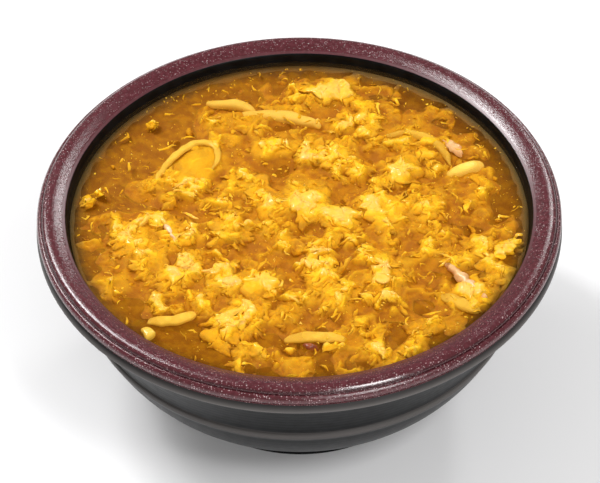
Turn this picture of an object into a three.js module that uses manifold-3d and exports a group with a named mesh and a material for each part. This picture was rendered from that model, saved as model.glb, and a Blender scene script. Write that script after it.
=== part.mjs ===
// A bowl of udon in egg-drop broth: a stoneware bowl with a rolled rim and a foot ring, broth to just
// under the rim, a raft of soft egg curds on it, and the noodles, onion and pork that show among them.
// Millimetres, +Z up. The origin is the middle of the foot ring, on the table. Turned profiles are
// lists of (radius, height), and places on the broth are (x, y) seen from above.

import * as THREE from "three";
import { mergeVertices } from "three/addons/utils/BufferGeometryUtils.js";
import Module from "manifold-3d";

const wasm = await Module();
wasm.setup();

// ---------------------------------------------------------------- driving dimensions
const BOWL_HEIGHT = 85;
const FOOT = { radius: 51.6, width: 5.4, height: 8.6, draft: 1.4, chamfer: 0.8 }; // narrows upwards
const RECESS = { height: 6, corner: 1.2 }; // under the bowl, inside the foot ring
const RIB = { radius: 84, height: 45.2, width: 3, relief: 0.7 }; // the low ridge round the body
const FLANGE = { radius: 100, height: 77.4, edge: 0.9 }; // the widest edge, below the coloured rim
const FLANGE_NECK = { radius: 98.8, height: 79.1 }; // between the flange and the outer roll
const COVE = { radius: 95, height: 75 }; // where the body turns out into the flange
const OUTER_ROLL = { middle: [97.8, 81.2], halfWidth: 1.6, halfHeight: 2.2 };
const CREST = { middle: [95.3, 83], halfWidth: 1.6, halfHeight: 2 };
const LIP = { outer: [94.4, 84.9], inner: [89.4, 82.4], foot: [88.5, 80.9] }; // the slope into the bowl
const BROTH_LEVEL = 79.1;
const BROTH_RADIUS = 87.85; // where the broth meets the wall
const MENISCUS = { height: 0.4, width: 1.1 };
const INSIDE_WAIST = [77.6, 45]; // on the inside wall, half way down
const FLOOR_HEIGHT = 11.4; // inside the bowl, at its middle
const FLOOR_EDGE = [40, 12.2];

// Where the tangents at the two ends of each curve of the profile cross.
const BELLY_PULL = [74, 19.5];
const BAND_PULL = [87.6, 61];
const LIP_PULL = [91.6, 84.4];
const WALL_PULL = [86.6, 70];
const HOLLOW_PULL = [71.5, 19];
const TURNED_SIDES = 48;

const GAP = 0.3; // between pieces that touch
const POCKET_GAP = 0.45; // grown all round a piece that is let into the egg or the broth

const RAFT_RADIUS = 82; // of the raft of egg, on average where no bay cuts in
const RAFT_THICKNESS = 4;
const RAFT_RISE = 0.05; // above the broth, between the flakes
const RAFT_STEPS = 64;
const RAFT_RAGGEDNESS = [ // waves along the raft's edge: how many round the bowl, how far, and their start
  { waves: 7, reach: 1.1, start: 0.4 },
  { waves: 13, reach: 1.3, start: 1 },
  { waves: 23, reach: 1, start: 2 },
];
const POOL_STEPS = 14;
const POOL_UNEVENNESS = 0.16;
const FLAKE_COUNT = 74; // small ones, besides the large ones placed below
const FLAKE_SIDES = 8;
const FLAKE_RISE = { least: 0.6, most: 1.5 }; // above the broth
const FLAKE_REACH = { least: 3.4, most: 6.2 }; // from a flake's middle to its outline
const FLAKE_SLIMNESS = { least: 0.5, most: 0.95 }; // width over length
const FLAKE_RAGGEDNESS = { least: 0.6, most: 1.15 }; // reach of a corner
const FLAKE_CRUMPLE = { least: 0.4, most: 1 }; // height of a corner
const RANDOM_SEED = 20817;

// The largest flakes: middle and reach.
const LARGE_FLAKES = [
  { middle: [6.6, 33], reach: 7.5 },
  { middle: [2.6, 8.6], reach: 7 },
  { middle: [4.4, -24], reach: 10.5 },
  { middle: [24, -3], reach: 7.5 },
  { middle: [-44, -23.5], reach: 10.5 },
  { middle: [-22.4, -51], reach: 9.5 },
  { middle: [-67, -4], reach: 9 },
  { middle: [33, -68], reach: 8 },
  { middle: [-18, 12], reach: 10 },
  { middle: [44, 22], reach: 9 },
  { middle: [14, 70], reach: 7.5 },
];

// Bare broth beside the rim: bearing in degrees, half its width in degrees, and how far it reaches in.
const BAYS = [
  { bearing: 141, spread: 24, depth: 21 },
  { bearing: 6, spread: 15, depth: 10 },
  { bearing: 236, spread: 9, depth: 13 },
  { bearing: 274, spread: 7, depth: 9 },
];

// Bare pools within the egg.
const POOLS = [
  { middle: [13, 11], halfLength: 7.5, halfWidth: 5, turn: 65 },
  { middle: [-24.5, 34], halfLength: 7, halfWidth: 2.6, turn: 80 },
  { middle: [-11, 25.5], halfLength: 10.5, halfWidth: 2.4, turn: -12 },
  { middle: [-71, 9], halfLength: 8, halfWidth: 4, turn: 20 },
];

// Pieces that show in the egg. halfWidth is across the piece, halfHeight is up and down, and rise is
// how far the top stands above the broth. A blunt end has a low taper.
const NOODLES = [
  { path: [[-21, 61], [-5.1, 57.9], [2.7, 56], [7.8, 53.4]], halfWidth: 3, halfHeight: 2.7, rise: 0.7 },
  { path: [[-36, 66.6], [-28, 66.6], [-19.5, 65.6]], halfWidth: 2.4, halfHeight: 2.2, rise: 0.8 },
  { path: [[57.5, 22.4], [64.8, 26], [71.5, 28.7]], halfWidth: 2.9, halfHeight: 2.6, rise: 1 },
];
const ONIONS = [
  {
    path: [[-55.5, 18], [-51.8, 29.3], [-44.2, 38.9], [-37.6, 43], [-32.3, 40.6], [-30.4, 33], [-33, 24]],
    halfWidth: 1.7,
    halfHeight: 2,
    rise: 1.1,
  },
  {
    path: [[32, 45], [41.8, 46.6], [51.5, 42.9], [56.6, 35.9], [58.6, 28.6]],
    halfWidth: 1.4,
    halfHeight: 1.9,
    rise: 1,
  },
  { path: [[-62, -7.5], [-58.6, -1.6], [-52.4, -0.6], [-47.8, -5]], halfWidth: 1.6, halfHeight: 1.7, rise: 0.7 },
  { path: [[-56.4, -54.6], [-47.5, -53.9], [-38.6, -52.2]], halfWidth: 2.4, halfHeight: 1.2, rise: 0.8 },
  { path: [[-5, -64.4], [6.4, -63.9], [17, -65.6]], halfWidth: 2.5, halfHeight: 1.2, rise: 0.7 },
  { path: [[-58.4, -59], [-55.6, -61], [-56.4, -65]], halfWidth: 2.1, halfHeight: 1.5, rise: 1 },
  { path: [[52, -42.6], [59.3, -47], [66, -51.6]], halfWidth: 3, halfHeight: 1.6, rise: 0.7 },
];
const PORK = [
  { path: [[54, -25], [60.2, -33.6], [65.6, -40.8], [69.4, -46]], halfWidth: 2, halfHeight: 1.4, rise: 1 },
  { path: [[56.4, 42.6], [60.6, 37.6], [63.4, 32.6]], halfWidth: 2.2, halfHeight: 1.5, rise: 0.9 },
  { path: [[-51.4, -3.6], [-48.8, -8.6], [-46.4, -13.6]], halfWidth: 1.1, halfHeight: 1.1, rise: 0.9 },
  { path: [[0.6, -69], [6.6, -69.8]], halfWidth: 1.3, halfHeight: 1.1, rise: 0.8 },
];
const EGG_LUMPS = [
  { path: [[-83.4, 9.2], [-78.4, 10]], halfWidth: 2.6, halfHeight: 1.9, rise: 1.1 },
  { path: [[-78.2, 15], [-75.2, 13.4]], halfWidth: 2.1, halfHeight: 1.6, rise: 0.9 },
  { path: [[-58.6, 53.6], [-55.6, 52.4]], halfWidth: 2, halfHeight: 1.6, rise: 0.9 },
  { path: [[73.4, -24.4], [77.6, -19], [82.4, -14.8]], halfWidth: 3.4, halfHeight: 1.2, rise: 1.1 },
];
const TAPER = { noodle: 0.3, onion: 0.55, pork: 0.5, egg: 0.6 };
const STRIP_SIDES = 8;
const STRIP_STEP = 3.4; // along a strip, between its rings
const MIN_STRIP_STEPS = 6;

// ---------------------------------------------------------------- finishes
const FINISHES = {
  bowl: new THREE.MeshStandardMaterial({ color: 0x4a3a40, roughness: 0.38, metalness: 0.15 }),
  broth: new THREE.MeshStandardMaterial({ color: 0xa8681c, roughness: 0.12, metalness: 0 }),
  egg: new THREE.MeshStandardMaterial({ color: 0xf2b02a, roughness: 0.4, metalness: 0 }),
  noodle: new THREE.MeshStandardMaterial({ color: 0xf0d08a, roughness: 0.35, metalness: 0 }),
  onion: new THREE.MeshStandardMaterial({ color: 0xe0bc5c, roughness: 0.25, metalness: 0 }),
  pork: new THREE.MeshStandardMaterial({ color: 0xd9a48c, roughness: 0.4, metalness: 0 }),
};

// ---------------------------------------------------------------- solids and meshes
const WELD = 1e-4;

function solidOf(geometry) {
  const bare = geometry.clone();
  bare.deleteAttribute("normal");
  bare.deleteAttribute("uv");
  const merged = mergeVertices(bare, WELD);
  const corners = merged.index.array;
  const kept = [];
  for (let i = 0; i < corners.length; i += 3) {
    const [a, b, c] = corners.slice(i, i + 3);
    if (a !== b && b !== c && c !== a) kept.push(a, b, c);
  }
  const vertProperties = merged.attributes.position.array;
  return new wasm.Manifold(new wasm.Mesh({ numProp: 3, vertProperties, triVerts: new Uint32Array(kept) }));
}

// The largest piece of a solid: cutting can leave loose scraps, which are dropped.
function largestOf(solid) {
  const pieces = solid.decompose();
  return pieces.reduce((best, piece) => (piece.volume() > best.volume() ? piece : best));
}

function meshOf(name, solid, finish) {
  const { vertProperties, triVerts } = solid.getMesh();
  const geometry = new THREE.BufferGeometry();
  geometry.setAttribute("position", new THREE.BufferAttribute(vertProperties, 3));
  geometry.setIndex(new THREE.BufferAttribute(triVerts, 1));
  geometry.computeVertexNormals();
  const mesh = new THREE.Mesh(geometry, finish);
  mesh.name = name;
  return mesh;
}

// A turned solid from its profile, which starts and ends on the axis.
function turned(profile) {
  const geometry = new THREE.LatheGeometry(profile, TURNED_SIDES);
  geometry.rotateX(Math.PI / 2);
  return solidOf(geometry);
}

// ---------------------------------------------------------------- the bowl
const at = (radius, height) => new THREE.Vector2(radius, height);

function bend(start, control, end, steps) {
  return new THREE.QuadraticBezierCurve(start, control, end).getPoints(steps);
}

// Part of an upright ellipse in the profile plane, between two angles in degrees from straight out.
function roll({ middle: [radius, height], halfWidth, halfHeight }, from, to, steps) {
  const start = THREE.MathUtils.degToRad(from);
  const end = THREE.MathUtils.degToRad(to);
  return new THREE.EllipseCurve(radius, height, halfWidth, halfHeight, start, end, false).getPoints(steps);
}

function footProfile() {
  const inner = FOOT.radius - FOOT.width;
  return [
    at(0, RECESS.height),
    at(inner - RECESS.corner, RECESS.height),
    at(inner, RECESS.height - RECESS.corner),
    at(inner, FOOT.chamfer),
    at(inner + FOOT.chamfer, 0),
    at(FOOT.radius - FOOT.chamfer, 0),
    at(FOOT.radius, FOOT.chamfer),
    at(FOOT.radius - FOOT.draft, FOOT.height),
  ];
}

// The belly, the rib and the hollow band above it.
function wallProfile() {
  const root = at(FOOT.radius, FOOT.height + FOOT.chamfer);
  const ribFoot = at(RIB.radius - RIB.relief, RIB.height - RIB.width / 2);
  const ribTop = at(RIB.radius - RIB.relief, RIB.height + RIB.width / 2);
  const belly = bend(root, at(...BELLY_PULL), ribFoot, 7);
  const band = bend(ribTop, at(...BAND_PULL), at(COVE.radius, COVE.height), 4);
  return [...belly, at(RIB.radius, RIB.height), ...band];
}

// The thin flange, the fat outer roll, the groove on top of it and the crest.
function rimProfile() {
  const flange = [
    at(FLANGE.radius - FLANGE.edge, FLANGE.height - FLANGE.edge),
    at(FLANGE.radius, FLANGE.height),
    at(FLANGE_NECK.radius, FLANGE_NECK.height),
  ];
  return [...flange, ...roll(OUTER_ROLL, -40, 105, 5), ...roll(CREST, 22, 90, 2)];
}

// From the crest down the broad inner slope to just above the broth.
function lipProfile() {
  const slope = bend(at(...LIP.outer), at(...LIP_PULL), at(...LIP.inner), 3);
  return [...slope, at(...LIP.foot)];
}

// The inside from the line of the broth to the middle of the floor, set in by the given amount.
function insideProfile(inset) {
  const set = ([radius, height]) => at(Math.max(radius - inset, 0), height + inset);
  const edge = at(BROTH_RADIUS - inset, BROTH_LEVEL);
  const wall = bend(edge, set(WALL_PULL), set(INSIDE_WAIST), 3);
  const hollow = bend(set(INSIDE_WAIST), set(HOLLOW_PULL), set(FLOOR_EDGE), 4);
  return [...wall, ...hollow.slice(1), set([0, FLOOR_HEIGHT])];
}

function bowlSolid() {
  return turned([...footProfile(), ...wallProfile(), ...rimProfile(), ...lipProfile(), ...insideProfile(0)]);
}

function brothSolid() {
  const inside = insideProfile(GAP).reverse();
  const edge = inside.pop();
  const surface = [
    at(edge.x, BROTH_LEVEL + MENISCUS.height),
    at(edge.x - MENISCUS.width, BROTH_LEVEL),
    at(0, BROTH_LEVEL),
  ];
  return turned([...inside, ...surface]);
}

// ---------------------------------------------------------------- strips: noodles, onion, pork, loose egg
// A rounded strip along a path on the broth. extra grows it all round, to make its pocket.
function strip({ path, halfWidth, halfHeight, rise }, taper, extra = 0) {
  const middle = BROTH_LEVEL + rise - halfHeight;
  const curve = new THREE.CatmullRomCurve3(path.map(([x, y]) => new THREE.Vector3(x, y, middle)));
  const steps = Math.max(MIN_STRIP_STEPS, Math.round(curve.getLength() / STRIP_STEP));
  const geometry = new THREE.SphereGeometry(1, STRIP_SIDES, steps);
  const up = new THREE.Vector3(0, 0, 1);
  const places = geometry.attributes.position;
  for (let i = 0; i < places.count; i += 1) {
    const x = places.getX(i);
    const y = THREE.MathUtils.clamp(places.getY(i), -1, 1);
    const z = places.getZ(i);
    const along = Math.acos(y) / Math.PI;
    const girth = Math.hypot(x, z);
    const fullness = girth < WELD ? 0 : girth ** taper / girth;
    const tangent = curve.getTangentAt(along);
    const side = new THREE.Vector3(-tangent.y, tangent.x, 0);
    const place = curve.getPointAt(along);
    place.addScaledVector(side, x * fullness * (halfWidth + extra));
    place.addScaledVector(up, z * fullness * (halfHeight + extra));
    place.addScaledVector(tangent, -y * extra);
    places.setXYZ(i, place.x, place.y, place.z);
  }
  return solidOf(geometry);
}

// Every strip with its pocket, each cut back where it meets one laid before it.
function layStrips() {
  const kinds = [
    { name: "udon_noodle", finish: FINISHES.noodle, taper: TAPER.noodle, pieces: NOODLES },
    { name: "onion_slice", finish: FINISHES.onion, taper: TAPER.onion, pieces: ONIONS },
    { name: "pork_shred", finish: FINISHES.pork, taper: TAPER.pork, pieces: PORK },
    { name: "egg_lump", finish: FINISHES.egg, taper: TAPER.egg, pieces: EGG_LUMPS },
  ];
  const laid = [];
  for (const { name, finish, taper, pieces } of kinds) {
    pieces.forEach((piece, index) => {
      const whole = laid.reduce((solid, other) => solid.subtract(other.pocket), strip(piece, taper));
      const pocket = strip(piece, taper, POCKET_GAP);
      laid.push({ name: `${name}_${index + 1}`, finish, piece, solid: largestOf(whole), pocket });
    });
  }
  return laid;
}

// ---------------------------------------------------------------- the egg
const LCG_FACTOR = 1664525;
const LCG_STEP = 1013904223;
const LCG_RANGE = 2 ** 32;

function seededRandom(seed) {
  let state = seed;
  return () => {
    state = (state * LCG_FACTOR + LCG_STEP) % LCG_RANGE;
    return state / LCG_RANGE;
  };
}

// How far the raft reaches at a bearing, with its bays and a ragged edge.
function raftReach(angle) {
  const degrees = THREE.MathUtils.radToDeg(angle);
  const bays = BAYS.reduce((depth, bay) => {
    const off = THREE.MathUtils.euclideanModulo(degrees - bay.bearing + 180, 360) - 180;
    return depth + bay.depth * Math.exp(-((off / bay.spread) ** 2));
  }, 0);
  const ragged = RAFT_RAGGEDNESS.reduce((out, { waves, reach, start }) => {
    return out + reach * Math.sin(waves * angle + start);
  }, 0);
  return RAFT_RADIUS - bays + ragged;
}

// A pool's uneven oval outline. extra grows the egg round it, so it makes the pool smaller.
function poolPath({ middle, halfLength, halfWidth, turn }, extra) {
  const points = [];
  const heading = THREE.MathUtils.degToRad(turn);
  for (let i = 0; i < POOL_STEPS; i += 1) {
    const angle = (i / POOL_STEPS) * 2 * Math.PI;
    const uneven = 1 + POOL_UNEVENNESS * Math.sin(3 * angle + 1);
    const along = (halfLength * uneven - extra) * Math.cos(angle);
    const across = (halfWidth * uneven - extra) * Math.sin(angle);
    const place = new THREE.Vector2(along, across).rotateAround(new THREE.Vector2(), heading);
    points.push(place.add(new THREE.Vector2(...middle)));
  }
  return new THREE.Path(points);
}

// The plan of the raft, standing from one height to another. extra grows it all round.
function raftPrism(bottom, top, extra = 0) {
  const outline = [];
  for (let i = 0; i < RAFT_STEPS; i += 1) {
    const angle = (i / RAFT_STEPS) * 2 * Math.PI;
    const reach = raftReach(angle) + extra;
    outline.push(new THREE.Vector2(reach * Math.cos(angle), reach * Math.sin(angle)));
  }
  const shape = new THREE.Shape(outline);
  shape.holes = POOLS.map((pool) => poolPath(pool, extra));
  const geometry = new THREE.ExtrudeGeometry(shape, { depth: top - bottom, bevelEnabled: false });
  geometry.translate(0, 0, bottom);
  return solidOf(geometry);
}

// A crumpled flake of egg: a ragged plate with its middle and corners at uneven heights, sunk in the raft.
function flake(x, y, reach, random) {
  const within = ({ least, most }) => THREE.MathUtils.lerp(least, most, random());
  const slimness = within(FLAKE_SLIMNESS);
  const rise = within(FLAKE_RISE);
  const heading = random() * 2 * Math.PI;
  const corners = Array.from({ length: FLAKE_SIDES }, () => ({
    out: reach * within(FLAKE_RAGGEDNESS),
    height: rise * within(FLAKE_CRUMPLE),
  }));
  const geometry = new THREE.CylinderGeometry(1, 1, 1, FLAKE_SIDES, 1);
  geometry.rotateX(Math.PI / 2);
  const places = geometry.attributes.position;
  for (let i = 0; i < places.count; i += 1) {
    const bearing = Math.atan2(places.getY(i), places.getX(i));
    const turn = Math.round((bearing / (2 * Math.PI)) * FLAKE_SIDES);
    const atMiddle = Math.hypot(places.getX(i), places.getY(i)) < WELD;
    const nearest = corners[THREE.MathUtils.euclideanModulo(turn, FLAKE_SIDES)];
    const corner = atMiddle ? { out: 0, height: rise } : nearest;
    const height = places.getZ(i) < 0 ? -RAFT_THICKNESS / 2 : corner.height;
    const place = new THREE.Vector2(corner.out * Math.cos(bearing), slimness * corner.out * Math.sin(bearing));
    place.rotateAround(new THREE.Vector2(), heading);
    places.setXYZ(i, x + place.x, y + place.y, BROTH_LEVEL + height);
  }
  return solidOf(geometry);
}

// The large flakes, then small ones spread evenly over the raft by the golden angle.
function flakeSolids() {
  const random = seededRandom(RANDOM_SEED);
  const goldenAngle = Math.PI * (3 - Math.sqrt(5));
  const flakes = LARGE_FLAKES.map(({ middle: [x, y], reach }) => flake(x, y, reach, random));
  for (let i = 0; i < FLAKE_COUNT; i += 1) {
    const angle = i * goldenAngle;
    const out = RAFT_RADIUS * Math.sqrt((i + 0.5) / FLAKE_COUNT);
    const reach = THREE.MathUtils.lerp(FLAKE_REACH.least, FLAKE_REACH.most, random());
    const onRaft = out + reach / 2 < raftReach(angle);
    if (onRaft) flakes.push(flake(out * Math.cos(angle), out * Math.sin(angle), reach, random));
  }
  return flakes;
}

function eggSolid(strips) {
  const bottom = BROTH_LEVEL - RAFT_THICKNESS;
  const flakes = flakeSolids().reduce((all, solid) => all.add(solid));
  const trimmed = flakes.intersect(raftPrism(bottom, BOWL_HEIGHT));
  const raft = raftPrism(bottom, BROTH_LEVEL + RAFT_RISE).add(trimmed);
  return largestOf(strips.reduce((solid, { pocket }) => solid.subtract(pocket), raft));
}

// The broth round the raft and round every strip.
function brothRound(strips) {
  const raftPocket = raftPrism(BROTH_LEVEL - RAFT_THICKNESS - GAP, BOWL_HEIGHT, POCKET_GAP);
  const open = brothSolid().subtract(raftPocket);
  return largestOf(strips.reduce((solid, { pocket }) => solid.subtract(pocket), open));
}

// ---------------------------------------------------------------- the whole
const strips = layStrips();
const bowlOfUdon = new THREE.Group();
bowlOfUdon.name = "bowl_of_udon";
bowlOfUdon.add(meshOf("bowl", bowlSolid(), FINISHES.bowl));
bowlOfUdon.add(meshOf("broth", brothRound(strips), FINISHES.broth));
bowlOfUdon.add(meshOf("egg_curds", eggSolid(strips), FINISHES.egg));
for (const { name, solid, finish } of strips) {
  bowlOfUdon.add(meshOf(name, solid, finish));
}

export default bowlOfUdon;
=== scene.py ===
"""A bowl of udon in egg-drop broth: the finished look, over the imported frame.

The bowl is turned stoneware, with a speckled purple glaze over its rolled rim. The broth is a clear amber
film over a cloudy body, and between the two lie the soft egg curds, each a small crumpled sheet, with the
noodles, onion and pork that show among them. Lengths are in metres, written in millimetres times MM.
+Z is up, the foot stands on z = 0, and the photograph was taken from the -Y side.
"""

import logging
import math
from collections.abc import Callable
from dataclasses import dataclass, field, replace
from enum import Enum
from functools import lru_cache, partial

import bpy
import numpy as np
from mathutils import Matrix, Vector


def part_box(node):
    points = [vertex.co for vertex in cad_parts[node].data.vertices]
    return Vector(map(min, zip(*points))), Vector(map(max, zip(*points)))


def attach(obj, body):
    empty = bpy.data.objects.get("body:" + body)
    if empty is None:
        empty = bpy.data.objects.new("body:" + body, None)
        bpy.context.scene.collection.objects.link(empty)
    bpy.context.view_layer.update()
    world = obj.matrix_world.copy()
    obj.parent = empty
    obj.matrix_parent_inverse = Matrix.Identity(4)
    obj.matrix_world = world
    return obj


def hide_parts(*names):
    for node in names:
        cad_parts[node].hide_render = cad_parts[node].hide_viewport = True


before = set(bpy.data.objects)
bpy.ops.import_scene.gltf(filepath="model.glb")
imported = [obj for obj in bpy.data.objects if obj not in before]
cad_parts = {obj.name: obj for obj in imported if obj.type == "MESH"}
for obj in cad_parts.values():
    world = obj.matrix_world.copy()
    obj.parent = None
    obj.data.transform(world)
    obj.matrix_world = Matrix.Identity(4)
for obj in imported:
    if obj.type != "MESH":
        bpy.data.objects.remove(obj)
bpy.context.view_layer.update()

MM = 0.001
BODY = "root"
LOG = logging.getLogger("bowl_of_udon")

MENISCUS_HEIGHT = 0.4 * MM
BROTH_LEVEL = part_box("broth")[1].z - MENISCUS_HEIGHT
BROTH_RADIUS = 87.85 * MM  # where the broth meets the wall
BOWL_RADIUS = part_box("bowl")[1].x
BOWL_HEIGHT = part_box("bowl")[1].z

Color = tuple[float, float, float, float]
Point = tuple[float, float]
Form = tuple[np.ndarray, np.ndarray, np.ndarray]  # points, triangles and quads
Socket = bpy.types.NodeSocket
WHITE = (1.0, 1.0, 1.0, 1.0)


class Slot(Enum):
    """The record's material slots."""

    STONEWARE = "stoneware"
    BROTH = "broth"
    EGG = "egg"
    NOODLE = "noodle"
    ONION = "onion"
    PORK = "pork"


def linear(code: str) -> Color:
    """Turns a written colour into the shader's.

    Args:
        code: the colour as six hexadecimal digits, as seen on a screen.

    Returns:
        Red, green, blue and alpha in linear light.
    """
    shown = [int(code[i : i + 2], 16) / 255 for i in (0, 2, 4)]
    light = [c / 12.92 if c <= 0.04045 else ((c + 0.055) / 1.055) ** 2.4 for c in shown]
    return (light[0], light[1], light[2], 1.0)


# ---------------------------------------------------------------- node trees
class Sketch:
    """Short hand for making one node tree."""

    def __init__(self, tree: bpy.types.NodeTree) -> None:
        """Starts on a tree."""
        self.tree = tree

    def node(self, kind: str, inputs: dict | None = None, **settings: object) -> bpy.types.Node:
        """Adds a node.

        Args:
            kind: the node's class name, without ShaderNode before it.
            inputs: for each input, by name or number, a value or the socket that feeds it.
            **settings: the node's own settings.

        Returns:
            The new node.
        """
        made = self.tree.nodes.new("ShaderNode" + kind)
        for name, value in settings.items():
            setattr(made, name, value)
        for key, value in (inputs or {}).items():
            self.feed(made.inputs[key], value)
        return made

    def feed(self, socket: Socket, value: object) -> None:
        """Links a socket to another one, or sets its value."""
        if isinstance(value, Socket):
            self.tree.links.new(value, socket)
        else:
            socket.default_value = value

    def math(self, operation: str, *numbers: object) -> Socket:
        """Returns the result of a sum on one, two or three numbers."""
        return self.node("Math", dict(enumerate(numbers)), operation=operation).outputs[0]

    def times(self, first: object, second: object) -> Socket:
        """Returns the product of two numbers."""
        return self.math("MULTIPLY", first, second)

    def apart(self, first: object, second: object) -> Socket:
        """Returns how far two numbers are apart."""
        return self.math("ABSOLUTE", self.math("SUBTRACT", first, second))

    def ramp(self, value: object, start: object, end: object, smooth: bool = True) -> Socket:
        """Returns 0 where value is at start and 1 where it is at end, held beyond them."""
        kind = "SMOOTHSTEP" if smooth else "LINEAR"
        limits = {"Value": value, "From Min": start, "From Max": end}
        return self.node("MapRange", limits, interpolation_type=kind, clamp=True).outputs["Result"]

    def mix(self, share: object, first: object, second: object) -> Socket:
        """Returns a colour between two, by share."""
        made = self.node("Mix", data_type="RGBA")
        for number, value in ((0, share), (6, first), (7, second)):
            self.feed(made.inputs[number], value)
        return made.outputs[2]

    def place(self) -> Socket:
        """Returns where the shaded point is."""
        return self.node("NewGeometry").outputs["Position"]

    def where(self) -> tuple[Socket, Socket, Socket]:
        """Returns the shaded point's distance from the Z axis, its Y and its height."""
        axes = self.node("SeparateXYZ", {0: self.place()}).outputs
        flat = self.node("CombineXYZ", {"X": axes["X"], "Y": axes["Y"]}).outputs[0]
        radius = self.node("VectorMath", {0: flat}, operation="LENGTH").outputs["Value"]
        return radius, axes["Y"], axes["Z"]

    def noise(self, scale: object, detail: float = 2.0) -> Socket:
        """Returns a noise value with about scale lumps a metre."""
        values = {"Vector": self.place(), "Scale": scale, "Detail": detail}
        return self.node("TexNoise", values).outputs["Fac"]

    def use(self, group: bpy.types.NodeTree, inputs: dict) -> bpy.types.bpy_prop_collection:
        """Places a node group, with this material's own values, and returns its outputs."""
        made = self.tree.nodes.new("ShaderNodeGroup")
        made.node_tree = group
        for key, value in inputs.items():
            self.feed(made.inputs[key], value)
        return made.outputs


class Group(Sketch):
    """Short hand for making one node group."""

    def __init__(self, name: str, inputs: dict[str, object], outputs: tuple[str, ...]) -> None:
        """Makes an empty group.

        Args:
            name: the group's name.
            inputs: each input's name and its starting value, a number or a colour.
            outputs: the outputs' names, of which Color is a colour and the others are numbers.
        """
        super().__init__(bpy.data.node_groups.new(name, "ShaderNodeTree"))
        for label, value in inputs.items():
            kind = "NodeSocketColor" if isinstance(value, tuple) else "NodeSocketFloat"
            socket = self.tree.interface.new_socket(label, in_out="INPUT", socket_type=kind)
            socket.default_value = value
        for label in outputs:
            kind = "NodeSocketColor" if label == "Color" else "NodeSocketFloat"
            self.tree.interface.new_socket(label, in_out="OUTPUT", socket_type=kind)
        self.given = self.tree.nodes.new("NodeGroupInput").outputs
        self.ends = self.tree.nodes.new("NodeGroupOutput").inputs

    def close(self, *results: Socket) -> bpy.types.NodeTree:
        """Feeds the group's outputs, in their order, and returns its tree."""
        for socket, value in zip(self.ends, results):
            self.feed(socket, value)
        return self.tree


class Effects:
    """Effects that more than one material uses, each a node group that is made once."""

    @staticmethod
    @lru_cache(maxsize=None)
    def depth() -> bpy.types.NodeTree:
        """Tints food by how deep it lies in the broth.

        Returns:
            A group that takes the colours above, at and below the broth's surface and the depth at which
            the last is reached, and gives the Color and a mask of what is Dry. What is under the broth is
            darkened beside the wall with painted shade, least of all in front, and gets a little painted
            light where it touches the wall, lifting the rim's shadow there.
        """
        colors = {"Above": WHITE, "Level": WHITE, "Below": WHITE}
        edges = {"Painted Shade": linear("6c5a36"), "Painted Lift": linear("6e5c3c")}
        sizes = {"Reach": 4 * MM, "Rise": 0.8 * MM}
        group = Group("broth_depth", {**colors, **edges, **sizes}, ("Color", "Dry"))
        given = group.given
        radius, across, height = group.where()
        above = group.math("SUBTRACT", height, BROTH_LEVEL)
        sunk = group.math("DIVIDE", group.times(above, -1.0), given["Reach"])
        out = group.ramp(group.math("DIVIDE", above, given["Rise"]), 0.0, 1.0)
        shown = group.mix(out, given["Level"], given["Above"])
        deep = group.mix(group.ramp(sunk, 0.0, 1.0, smooth=False), shown, given["Below"])
        # painted shade beside the wall, strongest at the back and least in front
        wavering = group.math("ADD", radius, group.times(group.noise(1 / (6 * MM)), 6 * MM))
        near_wall = group.ramp(wavering, BROTH_RADIUS - 4 * MM, BROTH_RADIUS + 2.5 * MM)
        near_wall = group.times(near_wall, group.ramp(across, -80 * MM, 10 * MM))
        dim = group.times(near_wall, group.ramp(above, 0.4 * MM, -0.7 * MM))
        # painted light: a slightly lighter colour where it touches the wall, lifting the rim's shadow there
        at_wall = group.ramp(wavering, BROTH_RADIUS + 1.4 * MM, BROTH_RADIUS + 3 * MM)
        wall_shade = group.mix(at_wall, given["Painted Shade"], given["Painted Lift"])
        return group.close(group.mix(dim, deep, wall_shade), group.ramp(above, -0.1 * MM, 0.1 * MM))

    @staticmethod
    @lru_cache(maxsize=None)
    def mottle() -> bpy.types.NodeTree:
        """Shifts a colour towards another in uneven patches.

        Returns:
            A group that takes a Base, a Patch colour, the patches' Size in metres and their Strength, and
            gives the Color and the Mask of the patches.
        """
        inputs = {"Base": WHITE, "Patch": WHITE, "Size": 2 * MM, "Strength": 0.5}
        group = Group("soft_mottle", inputs, ("Color", "Mask"))
        given = group.given
        noise = group.noise(group.math("DIVIDE", 1.0, given["Size"]), 3.0)
        mask = group.times(group.ramp(noise, 0.38, 0.66), given["Strength"])
        return group.close(group.mix(mask, given["Base"], given["Patch"]), mask)

    @staticmethod
    @lru_cache(maxsize=None)
    def relief() -> bpy.types.NodeTree:
        """Fine uneven relief, for a Bump node.

        Returns:
            A group that takes the Size of the lumps in metres and the share of Fine relief on them, and
            gives a Height from 0 to about 1.
        """
        group = Group("fine_relief", {"Size": 1 * MM, "Fine": 0.3}, ("Height",))
        scale = group.math("DIVIDE", 1.0, group.given["Size"])
        fine = group.times(group.noise(group.times(scale, 4.3), 1.0), group.given["Fine"])
        return group.close(group.math("ADD", group.noise(scale), fine))

    @staticmethod
    @lru_cache(maxsize=None)
    def specks() -> bpy.types.NodeTree:
        """Small scattered specks.

        Returns:
            A group that takes the Spacing of the specks in metres, the Size of one as a share of it and
            how Thickly they lie from 0 to 1, and gives their Mask.
        """
        group = Group("specks", {"Spacing": 1 * MM, "Size": 0.3, "Thickly": 0.5}, ("Mask",))
        given = group.given
        scale = group.math("DIVIDE", 1.0, given["Spacing"])
        cells = group.node("TexVoronoi", {"Vector": group.place(), "Scale": scale}, feature="F1").outputs
        spot = group.ramp(cells["Distance"], given["Size"], group.times(given["Size"], 0.5), smooth=False)
        chance = group.node("SeparateColor", {0: cells["Color"]}).outputs[0]
        return group.close(group.times(spot, group.math("LESS_THAN", chance, given["Thickly"])))


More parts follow.
